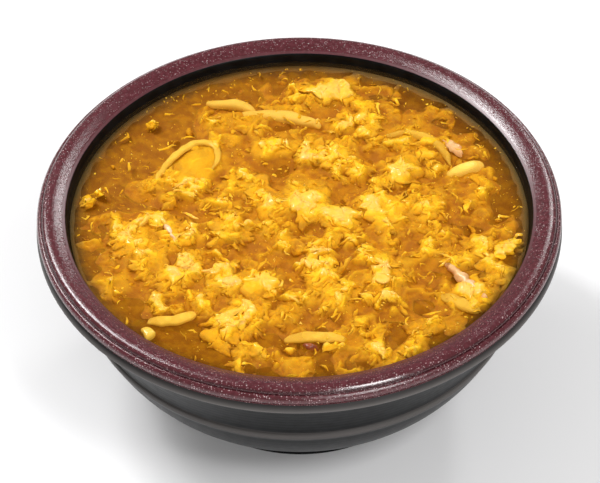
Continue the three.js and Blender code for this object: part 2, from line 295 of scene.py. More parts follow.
# ---------------------------------------------------------------- finishes
class Coating(Sketch):
    """Short hand for making one material."""

    def __init__(self, name: str) -> None:
        """Starts a material."""
        self.material = bpy.data.materials.new(name)
        self.material.use_nodes = True
        self.material.node_tree.nodes.clear()
        super().__init__(self.material.node_tree)

    def mottle(self, base: object, patch: str, size: float, strength: float) -> bpy.types.bpy_prop_collection:
        """Shifts a colour towards a patch colour in uneven patches.

        Args:
            base: the colour, or the socket that gives it.
            patch: the patches' written colour.
            size: the patches' size in metres.
            strength: how strong they are at most, from 0 to 1.

        Returns:
            The outputs of the effect.
        """
        values = {"Base": base, "Patch": linear(patch), "Size": size, "Strength": strength}
        return self.use(Effects.mottle(), values)

    def relief(self, size: float, fine: float) -> Socket:
        """Returns the height of fine relief, from its size in metres and its share of finer lumps."""
        return self.use(Effects.relief(), {"Size": size, "Fine": fine})["Height"]

    def bump(self, height: Socket, strength: float, distance: float) -> Socket:
        """Returns the normal that a height gives, at a strength and a depth in metres."""
        return self.node("Bump", {"Strength": strength, "Distance": distance, "Height": height}).outputs[0]

    def shade(self, values: dict[str, object]) -> bpy.types.Material:
        """Gives the shader its values and sockets, by its inputs' names, and returns the material."""
        shader = self.node("BsdfPrincipled", values)
        self.node("OutputMaterial", {"Surface": shader.outputs[0]})
        return self.material


@dataclass(frozen=True)
class CharcoalGlaze:
    """The satin charcoal glaze of the body and inside, paler on the rib and flange edge: partly wear, partly
    painted highlight.
    """

    color: str = "0a0b0c"
    patch: str = "141618"
    wear_and_highlight: str = "64605e"
    rib: float = 45.4 * MM  # the height of the rib
    flange_start: float = 98.6 * MM  # the radius from which the flange's edge is painted paler, for wear and painted highlight
    flange_edge: float = 76.1 * MM  # the height of that edge
    ring_spacing: float = 2.3 * MM

    def material(self) -> bpy.types.Material:
        """Returns the glaze, with faint turning rings."""
        coat = Coating("charcoal_glaze")
        radius, _, height = coat.where()
        base = coat.mottle(linear(self.color), self.patch, 5 * MM, 0.6)["Color"]
        # painted highlight, partly also wear: the rib and the flange's top, brighter towards its edge, take
        # the paler colour
        on_rib = coat.times(coat.ramp(coat.apart(height, self.rib), 3.2 * MM, 0.2 * MM), 0.7)
        on_rib = coat.times(on_rib, coat.ramp(radius, 79 * MM, 81 * MM))
        near_edge = coat.ramp(coat.apart(height, self.flange_edge), 4.5 * MM, 0.0, smooth=False)
        on_flange = coat.ramp(radius, self.flange_start - 0.8 * MM, self.flange_start)
        on_edge = coat.times(coat.math("POWER", near_edge, 2.0), on_flange)
        wear_and_highlight = coat.math("MAXIMUM", on_rib, on_edge)
        rings = coat.math("SINE", coat.times(height, 2 * math.pi / self.ring_spacing))
        uneven = coat.math("ADD", coat.times(rings, 0.6), coat.relief(0.6 * MM, 0.5))
        values = {
            "Base Color": coat.mix(wear_and_highlight, base, linear(self.wear_and_highlight)),
            "Roughness": coat.math("MULTIPLY_ADD", coat.noise(1 / (3 * MM)), 0.12, 0.3),
            "Normal": coat.bump(uneven, 0.5, 0.02 * MM),
            "Specular IOR Level": 0.09,
        }
        return coat.shade(values)


@dataclass(frozen=True)
class PurpleGlaze:
    """The purple-brown glaze of the rolled rim: glossy, speckled, grainy, with painted shade in the groove
    and painted sparkle on the crest.
    """

    color: str = "481119"
    patch: str = "581f28"
    speck: str = "d8b8ba"
    pooling_and_shade: str = "2c0a0e"
    smooth_to: float = 89.3 * MM  # the radius from which it is grainy
    crest: float = 94.4 * MM  # the radius from which the specks are brighter
    groove: float = 97.5 * MM  # the radius at which it pools, darkened there with painted shade
    edge: float = 97.05 * MM  # the radius at which it is worn smooth

    def material(self) -> bpy.types.Material:
        """Returns the glaze."""
        coat = Coating("purple_glaze")
        radius, _, _ = coat.where()
        grainy = coat.ramp(radius, self.smooth_to, self.smooth_to + 1.2 * MM)
        purple = coat.mottle(linear(self.color), self.patch, 1.6 * MM, 0.8)["Color"]
        coarse = coat.use(Effects.specks(), {"Spacing": 0.9 * MM, "Size": 0.32, "Thickly": 0.3})["Mask"]
        fine = coat.use(Effects.specks(), {"Spacing": 0.55 * MM, "Size": 0.36, "Thickly": 0.3})["Mask"]
        specks = coat.math("MAXIMUM", coarse, coat.times(fine, 0.7))
        # painted sparkle, partly also real specks: the specks grow brighter from the crest outwards
        speck_share_and_sparkle = coat.math("MULTIPLY_ADD", coat.ramp(radius, self.crest, self.crest + 2 * MM), 0.4, 0.3)
        speckled = coat.mix(coat.times(coat.times(specks, grainy), speck_share_and_sparkle), purple, linear(self.speck))
        # painted shade, partly also pooled glaze: darker in the groove
        pooling_and_shade = coat.times(coat.ramp(coat.apart(radius, self.groove), 0.5 * MM, 0.2 * MM), 0.55)
        off_edge = coat.ramp(coat.apart(radius, self.edge), -0.3 * MM, 0.9 * MM)
        uneven = coat.math("MAXIMUM", coat.times(grainy, off_edge), 0.06)
        grain = coat.math("ADD", coat.relief(0.75 * MM, 0.6), coat.times(specks, 0.8))
        values = {
            "Base Color": coat.mix(pooling_and_shade, speckled, linear(self.pooling_and_shade)),
            "Roughness": coat.math("MULTIPLY_ADD", grainy, -0.22, 0.36),
            "Normal": coat.bump(coat.times(grain, uneven), 0.9, 0.065 * MM),
            "Specular IOR Level": 0.7,
        }
        return coat.shade(values)


@dataclass(frozen=True)
class BrothFilm:
    """The broth's clear, glossy top layer."""

    color: str = "c9780f"
    patch: str = "b5640c"
    # painted shade beside the wall
    wall_shade: str = "5a431f"  # beside the wall
    alpha: float = 0.08

    def material(self) -> bpy.types.Material:
        """Returns the film, with a faint ripple, slow changes of colour and painted shade beside the wall."""
        coat = Coating("broth_film")
        color = coat.mottle(linear(self.color), self.patch, 14 * MM, 0.7)["Color"]
        radius, _, _ = coat.where()
        # painted shade: the film darkens towards the wall
        near_wall = coat.ramp(radius, BROTH_RADIUS - 6 * MM, BROTH_RADIUS - 0.5 * MM)
        values = {
            "Base Color": coat.mix(near_wall, color, linear(self.wall_shade)),
            "Normal": coat.bump(coat.relief(4 * MM, 0.15), 0.3, 0.12 * MM),
            "Roughness": 0.06,
            "IOR": 1.36,
            "Specular IOR Level": 0.05,
            "Alpha": self.alpha,
        }
        return coat.shade(values)


@dataclass(frozen=True)
class BrothBody:
    """The cloudy depths of the broth."""

    color: str = "8c5210"
    patch: str = "9c5e12"
    deep: str = "7a5216"

    def material(self) -> bpy.types.Material:
        """Returns the body, which gets painted shade as it slopes up beside the wall."""
        coat = Coating("broth_body")
        cloudy = coat.mottle(linear(self.color), self.patch, 6 * MM, 0.8)["Color"]
        tints = {"Above": cloudy, "Level": cloudy, "Below": linear(self.deep), "Reach": 14 * MM}
        values = {
            # the depth effect paints shade on it beside the wall
            "Base Color": coat.use(Effects.depth(), tints)["Color"],
            "Normal": coat.bump(coat.relief(4 * MM, 0.2), 0.4, 1 * MM),
            "Roughness": 0.8,
            "Specular IOR Level": 0.0,
            "Subsurface Weight": 0.3,
            "Subsurface Radius": (1.0, 0.6, 0.2),
            "Subsurface Scale": 2 * MM,
        }
        return coat.shade(values)


@dataclass(frozen=True)
class SoftFood:
    """Moist, faintly translucent food, whose colour deepens as it sinks into the broth."""

    name: str
    above: str
    level: str
    below: str
    patch: str
    reach: float = 4 * MM  # the depth at which it has the colour below
    patch_size: float = 2.2 * MM
    patch_strength: float = 0.5
    roughness: float = 0.32
    sunk_roughness: float = 0.65
    grain: float = 0.7 * MM
    grain_depth: float = 0.12 * MM
    coat: float = 0.45
    glow: float = 0.4
    glow_radius: tuple[float, float, float] = (1.0, 0.78, 0.4)
    glow_scale: float = 0.6 * MM

    def material(self) -> bpy.types.Material:
        """Returns the food's material, for meshes with the tint and the edge of each point."""
        coat = Coating(self.name)
        tint = coat.node("Attribute", attribute_name="tint").outputs["Fac"]
        edge = coat.node("Attribute", attribute_name="edge").outputs["Fac"]
        plain = linear(self.level)
        below = linear(self.below)
        level = coat.mix(coat.times(tint, 0.75), plain, coat.mix(0.5, plain, below))
        pale = coat.mix(coat.times(tint, 0.6), linear(self.above), plain)
        light = coat.mix(coat.times(edge, 0.35), level, pale)
        tints = {"Above": pale, "Level": light, "Below": below, "Reach": self.reach}
        sunk = coat.use(Effects.depth(), tints)
        color = coat.mottle(sunk["Color"], self.patch, self.patch_size, self.patch_strength)
        drying = self.roughness - self.sunk_roughness
        rough = coat.math("MULTIPLY_ADD", sunk["Dry"], drying, self.sunk_roughness)
        values = {
            "Base Color": color["Color"],
            "Roughness": coat.math("ADD", rough, coat.times(color["Mask"], 0.15)),
            "Coat Weight": coat.times(sunk["Dry"], self.coat),
            "Coat Roughness": 0.08,
            "Normal": coat.bump(coat.relief(self.grain, 0.4), 0.6, self.grain_depth),
            "Specular IOR Level": 0.15,
            "Subsurface Weight": self.glow,
            "Subsurface Radius": self.glow_radius,
            "Subsurface Scale": self.glow_scale,
        }
        return coat.shade(values)


EGG_FINISH = SoftFood(
    "egg_curd", "fabe58", "fec81c", "a4640c", "fab20a",
    reach=2.5 * MM, grain=0.55 * MM, grain_depth=0.24 * MM, coat=0.4, glow=0.25,
)
BED_FINISH = replace(
    EGG_FINISH, name="egg_bed", patch_size=4 * MM, patch_strength=0.3, glow=0.4, glow_scale=1.2 * MM
)
NOODLE_FINISH = SoftFood(
    "boiled_noodle", "f8e086", "f6d058", "cc941c", "f4cc58",
    patch_size=6 * MM, patch_strength=0.35, roughness=0.26, grain=2 * MM, grain_depth=0.05 * MM, coat=0.2,
)
ONION_FINISH = SoftFood(
    "simmered_onion", "f2d064", "e4b63c", "a4781c", "d6a830",
    patch_size=3 * MM, roughness=0.2, grain=1.4 * MM, grain_depth=0.08 * MM, coat=0.4, glow=0.5,
)
PORK_FINISH = SoftFood(
    "simmered_pork", "f2cfa6", "e4b67c", "bd8038", "d8a46a",
    patch_size=1.6 * MM, patch_strength=0.7, roughness=0.36, grain=0.6 * MM, glow_radius=(1.0, 0.6, 0.45),
)
DARK_PORK_FINISH = replace(
    PORK_FINISH, name="dark_pork", above="a85a30", level="8c4420", below="6a3414", patch="6e2c18"
)


# ---------------------------------------------------------------- meshes
class Waves:
    """A smooth random field, the sum of many plane waves."""

    def __init__(self, random: np.random.Generator, size: float, count: int = 20) -> None:
        """Draws the waves.

        Args:
            random: the seeded source of the draws.
            size: the usual length of a wave, in metres.
            count: how many waves.
        """
        heading = random.normal(size=(count, 3))
        heading /= np.linalg.norm(heading, axis=1, keepdims=True)
        self.waves = heading * (2 * math.pi / size) * random.uniform(0.6, 1.5, size=(count, 1))
        self.starts = random.uniform(0, 2 * math.pi, count)

    def at(self, places: np.ndarray) -> np.ndarray:
        """Returns the field, mostly from -1 to 1, at each of the places in the last axis."""
        flat = places.reshape(-1, 3) @ self.waves.T + self.starts
        values = np.sin(flat).sum(axis=1) / math.sqrt(len(self.starts))
        return values.reshape(places.shape[:-1])


class Crumple:
    """Moves points about, so that what is flat gets folds and torn edges."""

    def __init__(self, random: np.random.Generator, size: float, depth: float, rise: float) -> None:
        """Draws the folds.

        Args:
            random: the seeded source of the draws.
            size: the usual length of a fold.
            depth: how far a point moves sideways.
            rise: how far it moves up or down.
        """
        self.fields = [Waves(random, size) for _ in range(3)]
        self.reach = (depth, depth, rise)

    def move(self, places: np.ndarray) -> np.ndarray:
        """Returns the places, moved."""
        shifts = [f.at(places) * r for f, r in zip(self.fields, self.reach)]
        return places + np.stack(shifts, axis=-1)


def make_mesh(
    name: str,
    material: bpy.types.Material,
    form: Form,
    tint: np.ndarray | float = 0.0,
    edge: np.ndarray | float = 0.0,
) -> bpy.types.Object:
    """Makes one mesh of a closed form, or of several alike.

    Args:
        name: the object's name.
        material: its finish.
        form: its points, with a leading axis for the forms if there are several, and then the triangles
            and quads as point numbers, counted within one form.
        tint: how dark each form or point is, from 0 to 1.
        edge: how near each point is to a form's thin edge, from 0 to 1.

    Returns:
        The new object, linked to the scene.
    """
    points = form[0].reshape(-1, *form[0].shape[-2:])
    number, size = points.shape[:2]
    starts = np.arange(number)[:, None, None] * size
    triangles = (form[1] + starts).reshape(-1, 3)
    quads = (form[2] + starts).reshape(-1, 4)
    corners = np.concatenate([triangles.ravel(), quads.ravel()]).astype(np.int32)
    sizes = np.concatenate([np.full(len(triangles), 3), np.full(len(quads), 4)])
    mesh = bpy.data.meshes.new(name)
    mesh.vertices.add(number * size)
    mesh.vertices.foreach_set("co", points.astype(np.float32).ravel())
    mesh.loops.add(len(corners))
    mesh.loops.foreach_set("vertex_index", corners)
    mesh.polygons.add(len(sizes))
    mesh.polygons.foreach_set("loop_start", (np.cumsum(sizes) - sizes).astype(np.int32))
    mesh.polygons.foreach_set("use_smooth", np.ones(len(sizes), bool))
    for label, shares in (("tint", tint), ("edge", edge)):
        attribute = mesh.attributes.new(label, "FLOAT", "POINT")
        spread = np.broadcast_to(shares, (number, size)).astype(np.float32)
        attribute.data.foreach_set("value", spread.ravel())
    mesh.update(calc_edges=True)
    mesh.validate()
    mesh.materials.append(material)
    made = bpy.data.objects.new(name, mesh)
    bpy.context.scene.collection.objects.link(made)
    return made


def ring_quads(first: int, second: int, sides: int) -> np.ndarray:
    """Returns the quads between two rings of points, from their first points' numbers."""
    here = np.arange(sides)
    there = (here + 1) % sides
    return np.stack([first + here, first + there, second + there, second + here], axis=1)


def fan(pole: int, ring: int, sides: int, flip: bool) -> np.ndarray:
    """Returns the triangles between a pole and a ring of points."""
    here = np.arange(sides)
    there = (here + 1) % sides
    pair = (there, here) if flip else (here, there)
    return np.stack([np.full(sides, pole), ring + pair[0], ring + pair[1]], axis=1)


def close_rings(rings: np.ndarray, ends: np.ndarray) -> Form:
    """Makes a closed form of rings of points.

    Args:
        rings: the points, by ring and by place in the ring.
        ends: the two points that close the first ring and the last.

    Returns:
        The closed form.
    """
    number, sides = rings.shape[:2]
    body = rings.reshape(-1, 3)
    quads = [ring_quads(i * sides, (i + 1) * sides, sides) for i in range(number - 1)]
    first = fan(len(body), 0, sides, True)
    last = fan(len(body) + 1, (number - 1) * sides, sides, False)
    return np.concatenate([body, ends]), np.concatenate([first, last]), np.concatenate(quads)


def lathe(profile: np.ndarray, sides: int) -> Form:
    """Turns a profile about the Z axis.

    Args:
        profile: radius and height of each point, from the axis below, round the outside, to the axis above.
        sides: how many points a ring has.

    Returns:
        The closed form.
    """
    angles = np.arange(sides) / sides * 2 * math.pi
    circle = np.stack([np.cos(angles), np.sin(angles)], axis=1)
    rings = profile[1:-1, None]
    heights = np.broadcast_to(rings[..., 1:], (len(rings), sides, 1))
    body = np.concatenate([rings[..., :1] * circle, heights], axis=2)
    return close_rings(body, np.array([[0, 0, profile[0, 1]], [0, 0, profile[-1, 1]]]))


def bend(start: Point, pull: Point, end: Point, steps: int) -> np.ndarray:
    """Returns the points of a bend from start to end, drawn towards pull."""
    t = np.linspace(0, 1, steps + 1)[:, None]
    return (1 - t) ** 2 * np.array(start) + 2 * t * (1 - t) * np.array(pull) + t**2 * np.array(end)


def roll(middle: Point, half_width: float, half_height: float, span: Point, steps: int) -> np.ndarray:
    """Returns part of an upright ellipse, between two angles in degrees."""
    angles = np.radians(np.linspace(*span, steps + 1))
    turned = np.stack([half_width * np.cos(angles), half_height * np.sin(angles)], axis=1)
    return np.array(middle) + turned


def lengths_along(curve: np.ndarray) -> np.ndarray:
    """Returns how far along a curve each of its points lies."""
    return np.concatenate([[0], np.cumsum(np.linalg.norm(np.diff(curve, axis=0), axis=1))])


def resample(curve: np.ndarray, marks: np.ndarray, wanted: np.ndarray) -> np.ndarray:
    """Returns the points of a curve at the wanted marks, from the marks of its own points."""
    return np.stack([np.interp(wanted, marks, axis) for axis in curve.T], axis=1)


def rounded(profile: np.ndarray, step: float, reach: float) -> np.ndarray:
    """Rounds off the corners of a profile.

    Args:
        profile: its points.
        step: the distance between the new points.
        reach: how far along it each point is averaged.

    Returns:
        The new points, with the same ends.
    """
    lengths = lengths_along(profile)
    even = resample(profile, lengths, np.linspace(0, lengths[-1], int(lengths[-1] / step) + 1))
    half = int(reach / step / 2)
    window = np.hanning(2 * half + 3)[1:-1]
    padded = np.vstack([2 * even[0] - even[half:0:-1], even, 2 * even[-1] - even[-2 : -half - 2 : -1]])
    soft = [np.convolve(axis, window / window.sum(), "valid") for axis in padded.T]
    return np.stack(soft, axis=1)


def smooth_path(route: tuple[Point, ...], heights: np.ndarray, count: int) -> np.ndarray:
    """Runs a smooth curve through a route on the broth.

    Args:
        route: the points that the curve passes, in millimetres.
        heights: the height of each, in metres.
        count: how many points the curve gets.

    Returns:
        Points evenly spaced along the curve, in metres.
    """
    knots = np.column_stack([np.array(route) * MM, heights])
    padded = np.vstack([2 * knots[0] - knots[1], knots, 2 * knots[-1] - knots[-2]])
    t = np.linspace(0, 1, 40, endpoint=False)[:, None]
    dense = []
    for a, b, c, d in zip(padded, padded[1:], padded[2:], padded[3:]):
        cubic = (2 * a - 5 * b + 4 * c - d) * t**2 + (3 * b - a - 3 * c + d) * t**3
        dense.append(0.5 * (2 * b + (c - a) * t + cubic))
    curve = np.vstack([*dense, knots[-1:]])
    lengths = lengths_along(curve)
    return resample(curve, lengths, np.linspace(0, lengths[-1], count))


@dataclass(frozen=True)
class Strip:
    """A strip of food laid along a route on the broth, in millimetres as in the solid part."""

    route: tuple[Point, ...]
    half_width: float
    half_height: float
    rise: float  # of its top above the broth
    sink: float = 0.0  # how much lower its first end lies
    sink_end: float = 0.0  # how much lower its last end lies
    taper: float = 0.5
    squareness: float = 2.0
    sides: int = 20

    def section(self) -> tuple[np.ndarray, np.ndarray]:
        """Returns how far each point of its section lies to the side and up, in metres."""
        angles = np.arange(self.sides) / self.sides * 2 * math.pi
        turned = np.stack([np.cos(angles), np.sin(angles)])
        across, upward = np.sign(turned) * np.abs(turned) ** (2 / self.squareness)
        return across * self.half_width * MM, upward * self.half_height * MM

    def form(self) -> Form:
        """Makes the strip.

        Returns:
            The closed form.
        """
        steps = max(16, int(2.2 * lengths_along(np.array(self.route))[-1]))
        middle = BROTH_LEVEL + (self.rise - self.half_height) * MM
        shares = np.linspace(1, 0, len(self.route))
        sunk = self.sink * shares**1.5 + self.sink_end * (1 - shares) ** 1.5
        line = smooth_path(self.route, middle - sunk * MM, 4 * steps)
        stations = 0.5 - 0.5 * np.cos(np.linspace(0, math.pi, steps + 1))
        places = resample(line, np.linspace(0, 1, len(line)), stations)
        tangents = np.gradient(places, axis=0)
        tangents /= np.linalg.norm(tangents, axis=1, keepdims=True)
        across = np.stack([-tangents[:, 1], tangents[:, 0], np.zeros(steps + 1)], axis=1)
        across /= np.linalg.norm(across, axis=1, keepdims=True)
        upward = np.cross(tangents, across)
        girth = np.sin(math.pi * stations[1:-1])[:, None, None] ** self.taper
        side, lift = self.section()
        aside = across[1:-1, None] * (girth * side[:, None])
        above = upward[1:-1, None] * (girth * lift[:, None])
        return close_rings(places[1:-1, None] + aside + above, places[[0, -1]])


@lru_cache(maxsize=None)
def sheet_layout(rings: int, sectors: int) -> tuple[np.ndarray, ...]:
    """Lays out a round sheet with two faces that meet at its edge.

    Args:
        rings: how many rings of points lie between the middle and the edge, the edge included.
        sectors: how many points a ring has.

    Returns:
        For each point its share of the way out, its angle and its side, and then the triangles and quads.
    """
    turns = np.arange(sectors) / sectors * 2 * math.pi
    steps = np.concatenate([np.arange(1, rings + 1), np.arange(rings - 1, 0, -1)])
    faces = np.concatenate([np.ones(rings - 1), [0.0], -np.ones(rings - 1)])
    out = np.concatenate([[0.0], np.repeat(steps / rings, sectors), [0.0]])
    angle = np.concatenate([[0.0], np.tile(turns, len(steps)), [0.0]])
    side = np.concatenate([[1.0], np.repeat(faces, sectors), [-1.0]])
    starts = 1 + np.arange(len(steps)) * sectors
    quads = [ring_quads(a, b, sectors)[:, ::-1] for a, b in zip(starts, starts[1:])]
    triangles = [fan(0, 1, sectors, False), fan(len(out) - 1, starts[-1], sectors, True)]
    return out, angle, side, np.concatenate(triangles), np.concatenate(quads)


@dataclass(frozen=True)
class CurdKind:
    """One size of egg curd: crumpled sheets with torn outlines. Lengths are in millimetres."""

    name: str
    count: int
    reach: Point  # from a curd's middle to its edge, least and most
    slimness: Point  # width over length
    thickness: float
    rings: int
    sectors: int
    torn: float  # how ragged the outline is
    curl: float  # how much a curd cups or bows
    tilt: float  # degrees from level
    lift: Point  # its height above the bed, least and most
    stray: float = 0.0  # the share that may lie in bare broth
    size_bias: float = 1.6  # above 1, small ones are commoner
    hook: float = 0.0  # how much its length bends sideways
    afloat: float = -9.0  # the lowest that one may lie over a gap
    droop: float = 0.0  # how far its edge dips


# ---------------------------------------------------------------- the bowl
@dataclass
class Bowl:
    """The turned bowl, with its foot ring, rib, flange and rolled rim. Points are (radius, height) in mm."""

    foot_radius: float = 51.6
    foot_width: float = 5.4
    foot_height: float = 8.6
    foot_draft: float = 1.4
    foot_chamfer: float = 0.8
    recess_height: float = 6.0
    recess_corner: float = 1.2
    rib: Point = (84.0, 45.2)
    rib_width: float = 3.0
    rib_relief: float = 0.7
    belly_pull: Point = (74.0, 19.5)
    band_pull: Point = (87.6, 61.0)
    cove: Point = (95.0, 75.0)
    flange_edge: float = 0.8  # how round its edge is
    flange_height: float = 76.1
    flange_pull: Point = (99.95, 77.6)
    neck: Point = (98.8, 78.8)
    outer_roll: Point = (97.9, 81.0)
    roll_half: Point = (1.7, 2.1)
    groove: Point = (97.75, 82.7)
    crest_edge: Point = (97.6, 83.6)
    crest_pull: Point = (97.0, 84.98)
    crest: Point = (94.2, 84.98)
    lip_pull: Point = (92.4, 84.7)
    lip_inner: Point = (88.7, 82.9)
    lip_low_pull: Point = (88.3, 82.3)
    lip_foot: Point = (88.2, 80.9)
    waist: Point = (77.6, 45.0)
    wall_pull: Point = (86.6, 70.0)
    hollow_pull: Point = (71.5, 19.0)
    floor_edge: Point = (40.0, 12.2)
    floor_height: float = 11.4
    sides: int = 240
    body_glaze: CharcoalGlaze = CharcoalGlaze()
    rim_glaze: PurpleGlaze = PurpleGlaze()

    def inside(self) -> np.ndarray:
        """Returns the inside wall's profile, from the broth's edge down to the middle of the floor."""
        edge = (BROTH_RADIUS / MM, BROTH_LEVEL / MM)
        wall = bend(edge, self.wall_pull, self.waist, 22)
        hollow = bend(self.waist, self.hollow_pull, self.floor_edge, 20)
        return np.vstack([wall, hollow[1:], [[0, self.floor_height]]])

    def foot(self) -> np.ndarray:
        """Returns the profile of the recess and the foot ring."""
        inner = self.foot_radius - self.foot_width
        corner = self.recess_corner
        recess = roll((inner - corner, self.recess_height - corner), corner, corner, (90, 0), 5)
        chamfer = self.foot_chamfer
        tread_in = roll((inner + chamfer, chamfer), chamfer, chamfer, (180, 270), 5)
        tread_out = roll((self.foot_radius - chamfer, chamfer), chamfer, chamfer, (-90, 0), 5)
        top = [[self.foot_radius - self.foot_draft, self.foot_height]]
        return np.vstack([[[0, self.recess_height]], recess, tread_in, tread_out, top])

    def outside(self) -> np.ndarray:
        """Returns the profile of the belly, the rib, the band above it and the cove under the flange."""
        root = (self.foot_radius, self.foot_height + self.foot_chamfer)
        low = (self.rib[0] - self.rib_relief, self.rib[1] - self.rib_width / 2)
        high = (self.rib[0] - self.rib_relief, self.rib[1] + self.rib_width / 2)
        belly = bend(root, self.belly_pull, low, 30)
        rib = roll((low[0], self.rib[1]), self.rib_relief, self.rib_width / 2, (-80, 80), 8)
        band = bend(high, self.band_pull, self.cove, 24)
        return np.vstack([belly, rib, band])

    def rim(self) -> np.ndarray:
        """Returns the profile of the flange, the outer roll, the groove, the crest and the inner slope."""
        radius = BOWL_RADIUS / MM - 0.02  # just inside the solid's box
        round_by = self.flange_edge
        edge = roll((radius - round_by, self.flange_height), round_by, round_by, (-60, 0), 4)
        flange = bend((radius, self.flange_height), self.flange_pull, self.neck, 8)
        outer = roll(self.outer_roll, *self.roll_half, (-40, 84), 16)
        crest = bend(self.crest_edge, self.crest_pull, self.crest, 14)
        slope = bend(self.crest, self.lip_pull, self.lip_inner, 16)
        low = bend(self.lip_inner, self.lip_low_pull, self.lip_foot, 5)
        parts = [edge, flange[1:], outer, [self.groove], crest, slope[1:], low[1:]]
        return rounded(np.vstack(parts), 0.2, 0.6)

    def build(self) -> bpy.types.Object:
        """Makes and dresses the bowl.

        Returns:
            The bowl, in place of its solid.
        """
        profile = np.vstack([self.foot(), self.outside(), self.rim(), self.inside()]) * MM
        profile[:, 1] = np.minimum(profile[:, 1], BOWL_HEIGHT)
        points, triangles, quads = lathe(profile, self.sides)
        piece = make_mesh("stoneware_bowl", self.body_glaze.material(), (points, triangles, quads))
        piece.data.materials.append(self.rim_glaze.material())
        middles = points[quads].mean(axis=1) / MM
        (inner, high), (outer, low) = self.lip_inner, self.neck
        slope = (high - low) / (outer - inner)
        radius = np.hypot(middles[:, 0], middles[:, 1])
        purple = middles[:, 2] + slope * radius > high + slope * inner + 0.05
        numbers = np.concatenate([np.zeros(len(triangles), int), purple]).astype(np.int32)
        piece.data.polygons.foreach_set("material_index", numbers)
        return place(piece, Slot.STONEWARE, "bowl")


def place(piece: bpy.types.Object, slot: Slot, *nodes: str) -> bpy.types.Object:
    """Says what a piece rides on and hides the solids that it stands for.

    Args:
        piece: the new piece.
        slot: not used.
        *nodes: the solids that it replaces.

    Returns:
        The piece.
    """
    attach(piece, BODY)
    if nodes:
        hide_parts(*nodes)
    return piece


# ---------------------------------------------------------------- the broth
BODY_DEPTH = 4.8  # from the broth's surface to its cloudy body, in millimetres
SHOULDER_RADIUS = 81.0  # from here the body slopes up to the wall
SHOULDER_RISE = 4.3  # how much higher the body lies at the wall


def body_height(radius: np.ndarray) -> np.ndarray:
    """Gives the top of the broth's cloudy body.

    Args:
        radius: how far from the axis, in millimetres.

    Returns:
        Its height above the broth's surface, in millimetres.
    """
    share = np.clip((radius - SHOULDER_RADIUS) / (BROTH_RADIUS / MM - SHOULDER_RADIUS), 0, 1)
    return -BODY_DEPTH + SHOULDER_RISE * share**1.5


@dataclass
class Broth:
    """The broth: a clear film at its level, over a cloudy body a few millimetres down."""

    film_thickness: float = 0.35 * MM
    wall_gap: float = 0.3 * MM
    sides: int = 240
    seed: int = 31
    film: BrothFilm = BrothFilm()
    body: BrothBody = BrothBody()

    def film_profile(self) -> np.ndarray:
        """Returns the film's profile, with the meniscus at the wall."""
        edge = BROTH_RADIUS - 0.05 * MM
        out = edge * (1 - np.linspace(1, 0, 34)[1:] ** 2.5)
        climb = MENISCUS_HEIGHT * np.exp(-(edge - out) / (0.45 * MM))
        top = np.stack([out, BROTH_LEVEL + climb], axis=1)[::-1]
        low = BROTH_LEVEL - self.film_thickness
        bottom = np.stack([out[::4], np.full(len(out[::4]), low)], axis=1)
        return np.vstack([[[0, low]], bottom, top, [[0, BROTH_LEVEL]]])

    def body_profile(self, bowl: Bowl) -> np.ndarray:
        """Returns the body's profile, which follows the inside of the bowl.

        Args:
            bowl: the bowl that holds it.
        """
        inside = bowl.inside()[::-1]
        inside = inside + np.array([-self.wall_gap, self.wall_gap]) / MM * (inside[:, :1] > 0)
        wall = inside[inside[:, 1] - BROTH_LEVEL / MM < body_height(inside[:, 0])]
        out = np.linspace(wall[-1, 0], 0, 40)[1:]
        top = np.stack([out, BROTH_LEVEL / MM + body_height(out)], axis=1)
        return np.vstack([wall, top]) * MM

    def build(self, bowl: Bowl) -> list[bpy.types.Object]:
        """Makes and dresses the broth.

        Args:
            bowl: the bowl that holds it.

        Returns:
            The film and the body.
        """
        film = lathe(self.film_profile(), self.sides)
        body = lathe(self.body_profile(bowl), self.sides)
        points = body[0]
        random = np.random.default_rng(self.seed)
        radius = np.linalg.norm(points[:, :2], axis=1)
        top = points[:, 2] > BROTH_LEVEL + (body_height(radius / MM) - 0.1) * MM
        inner = np.clip((BROTH_RADIUS - 0.8 * MM - radius) / (4 * MM), 0, 1)
        lumps = 0.7 * Waves(random, 13 * MM).at(points) + 0.4 * Waves(random, 6 * MM).at(points)
        points[:, 2] += lumps * inner * top * MM
        return [
            place(make_mesh("broth_film", self.film.material(), film), Slot.BROTH, "broth"),
            place(make_mesh("broth_depths", self.body.material(), body), Slot.BROTH),
        ]


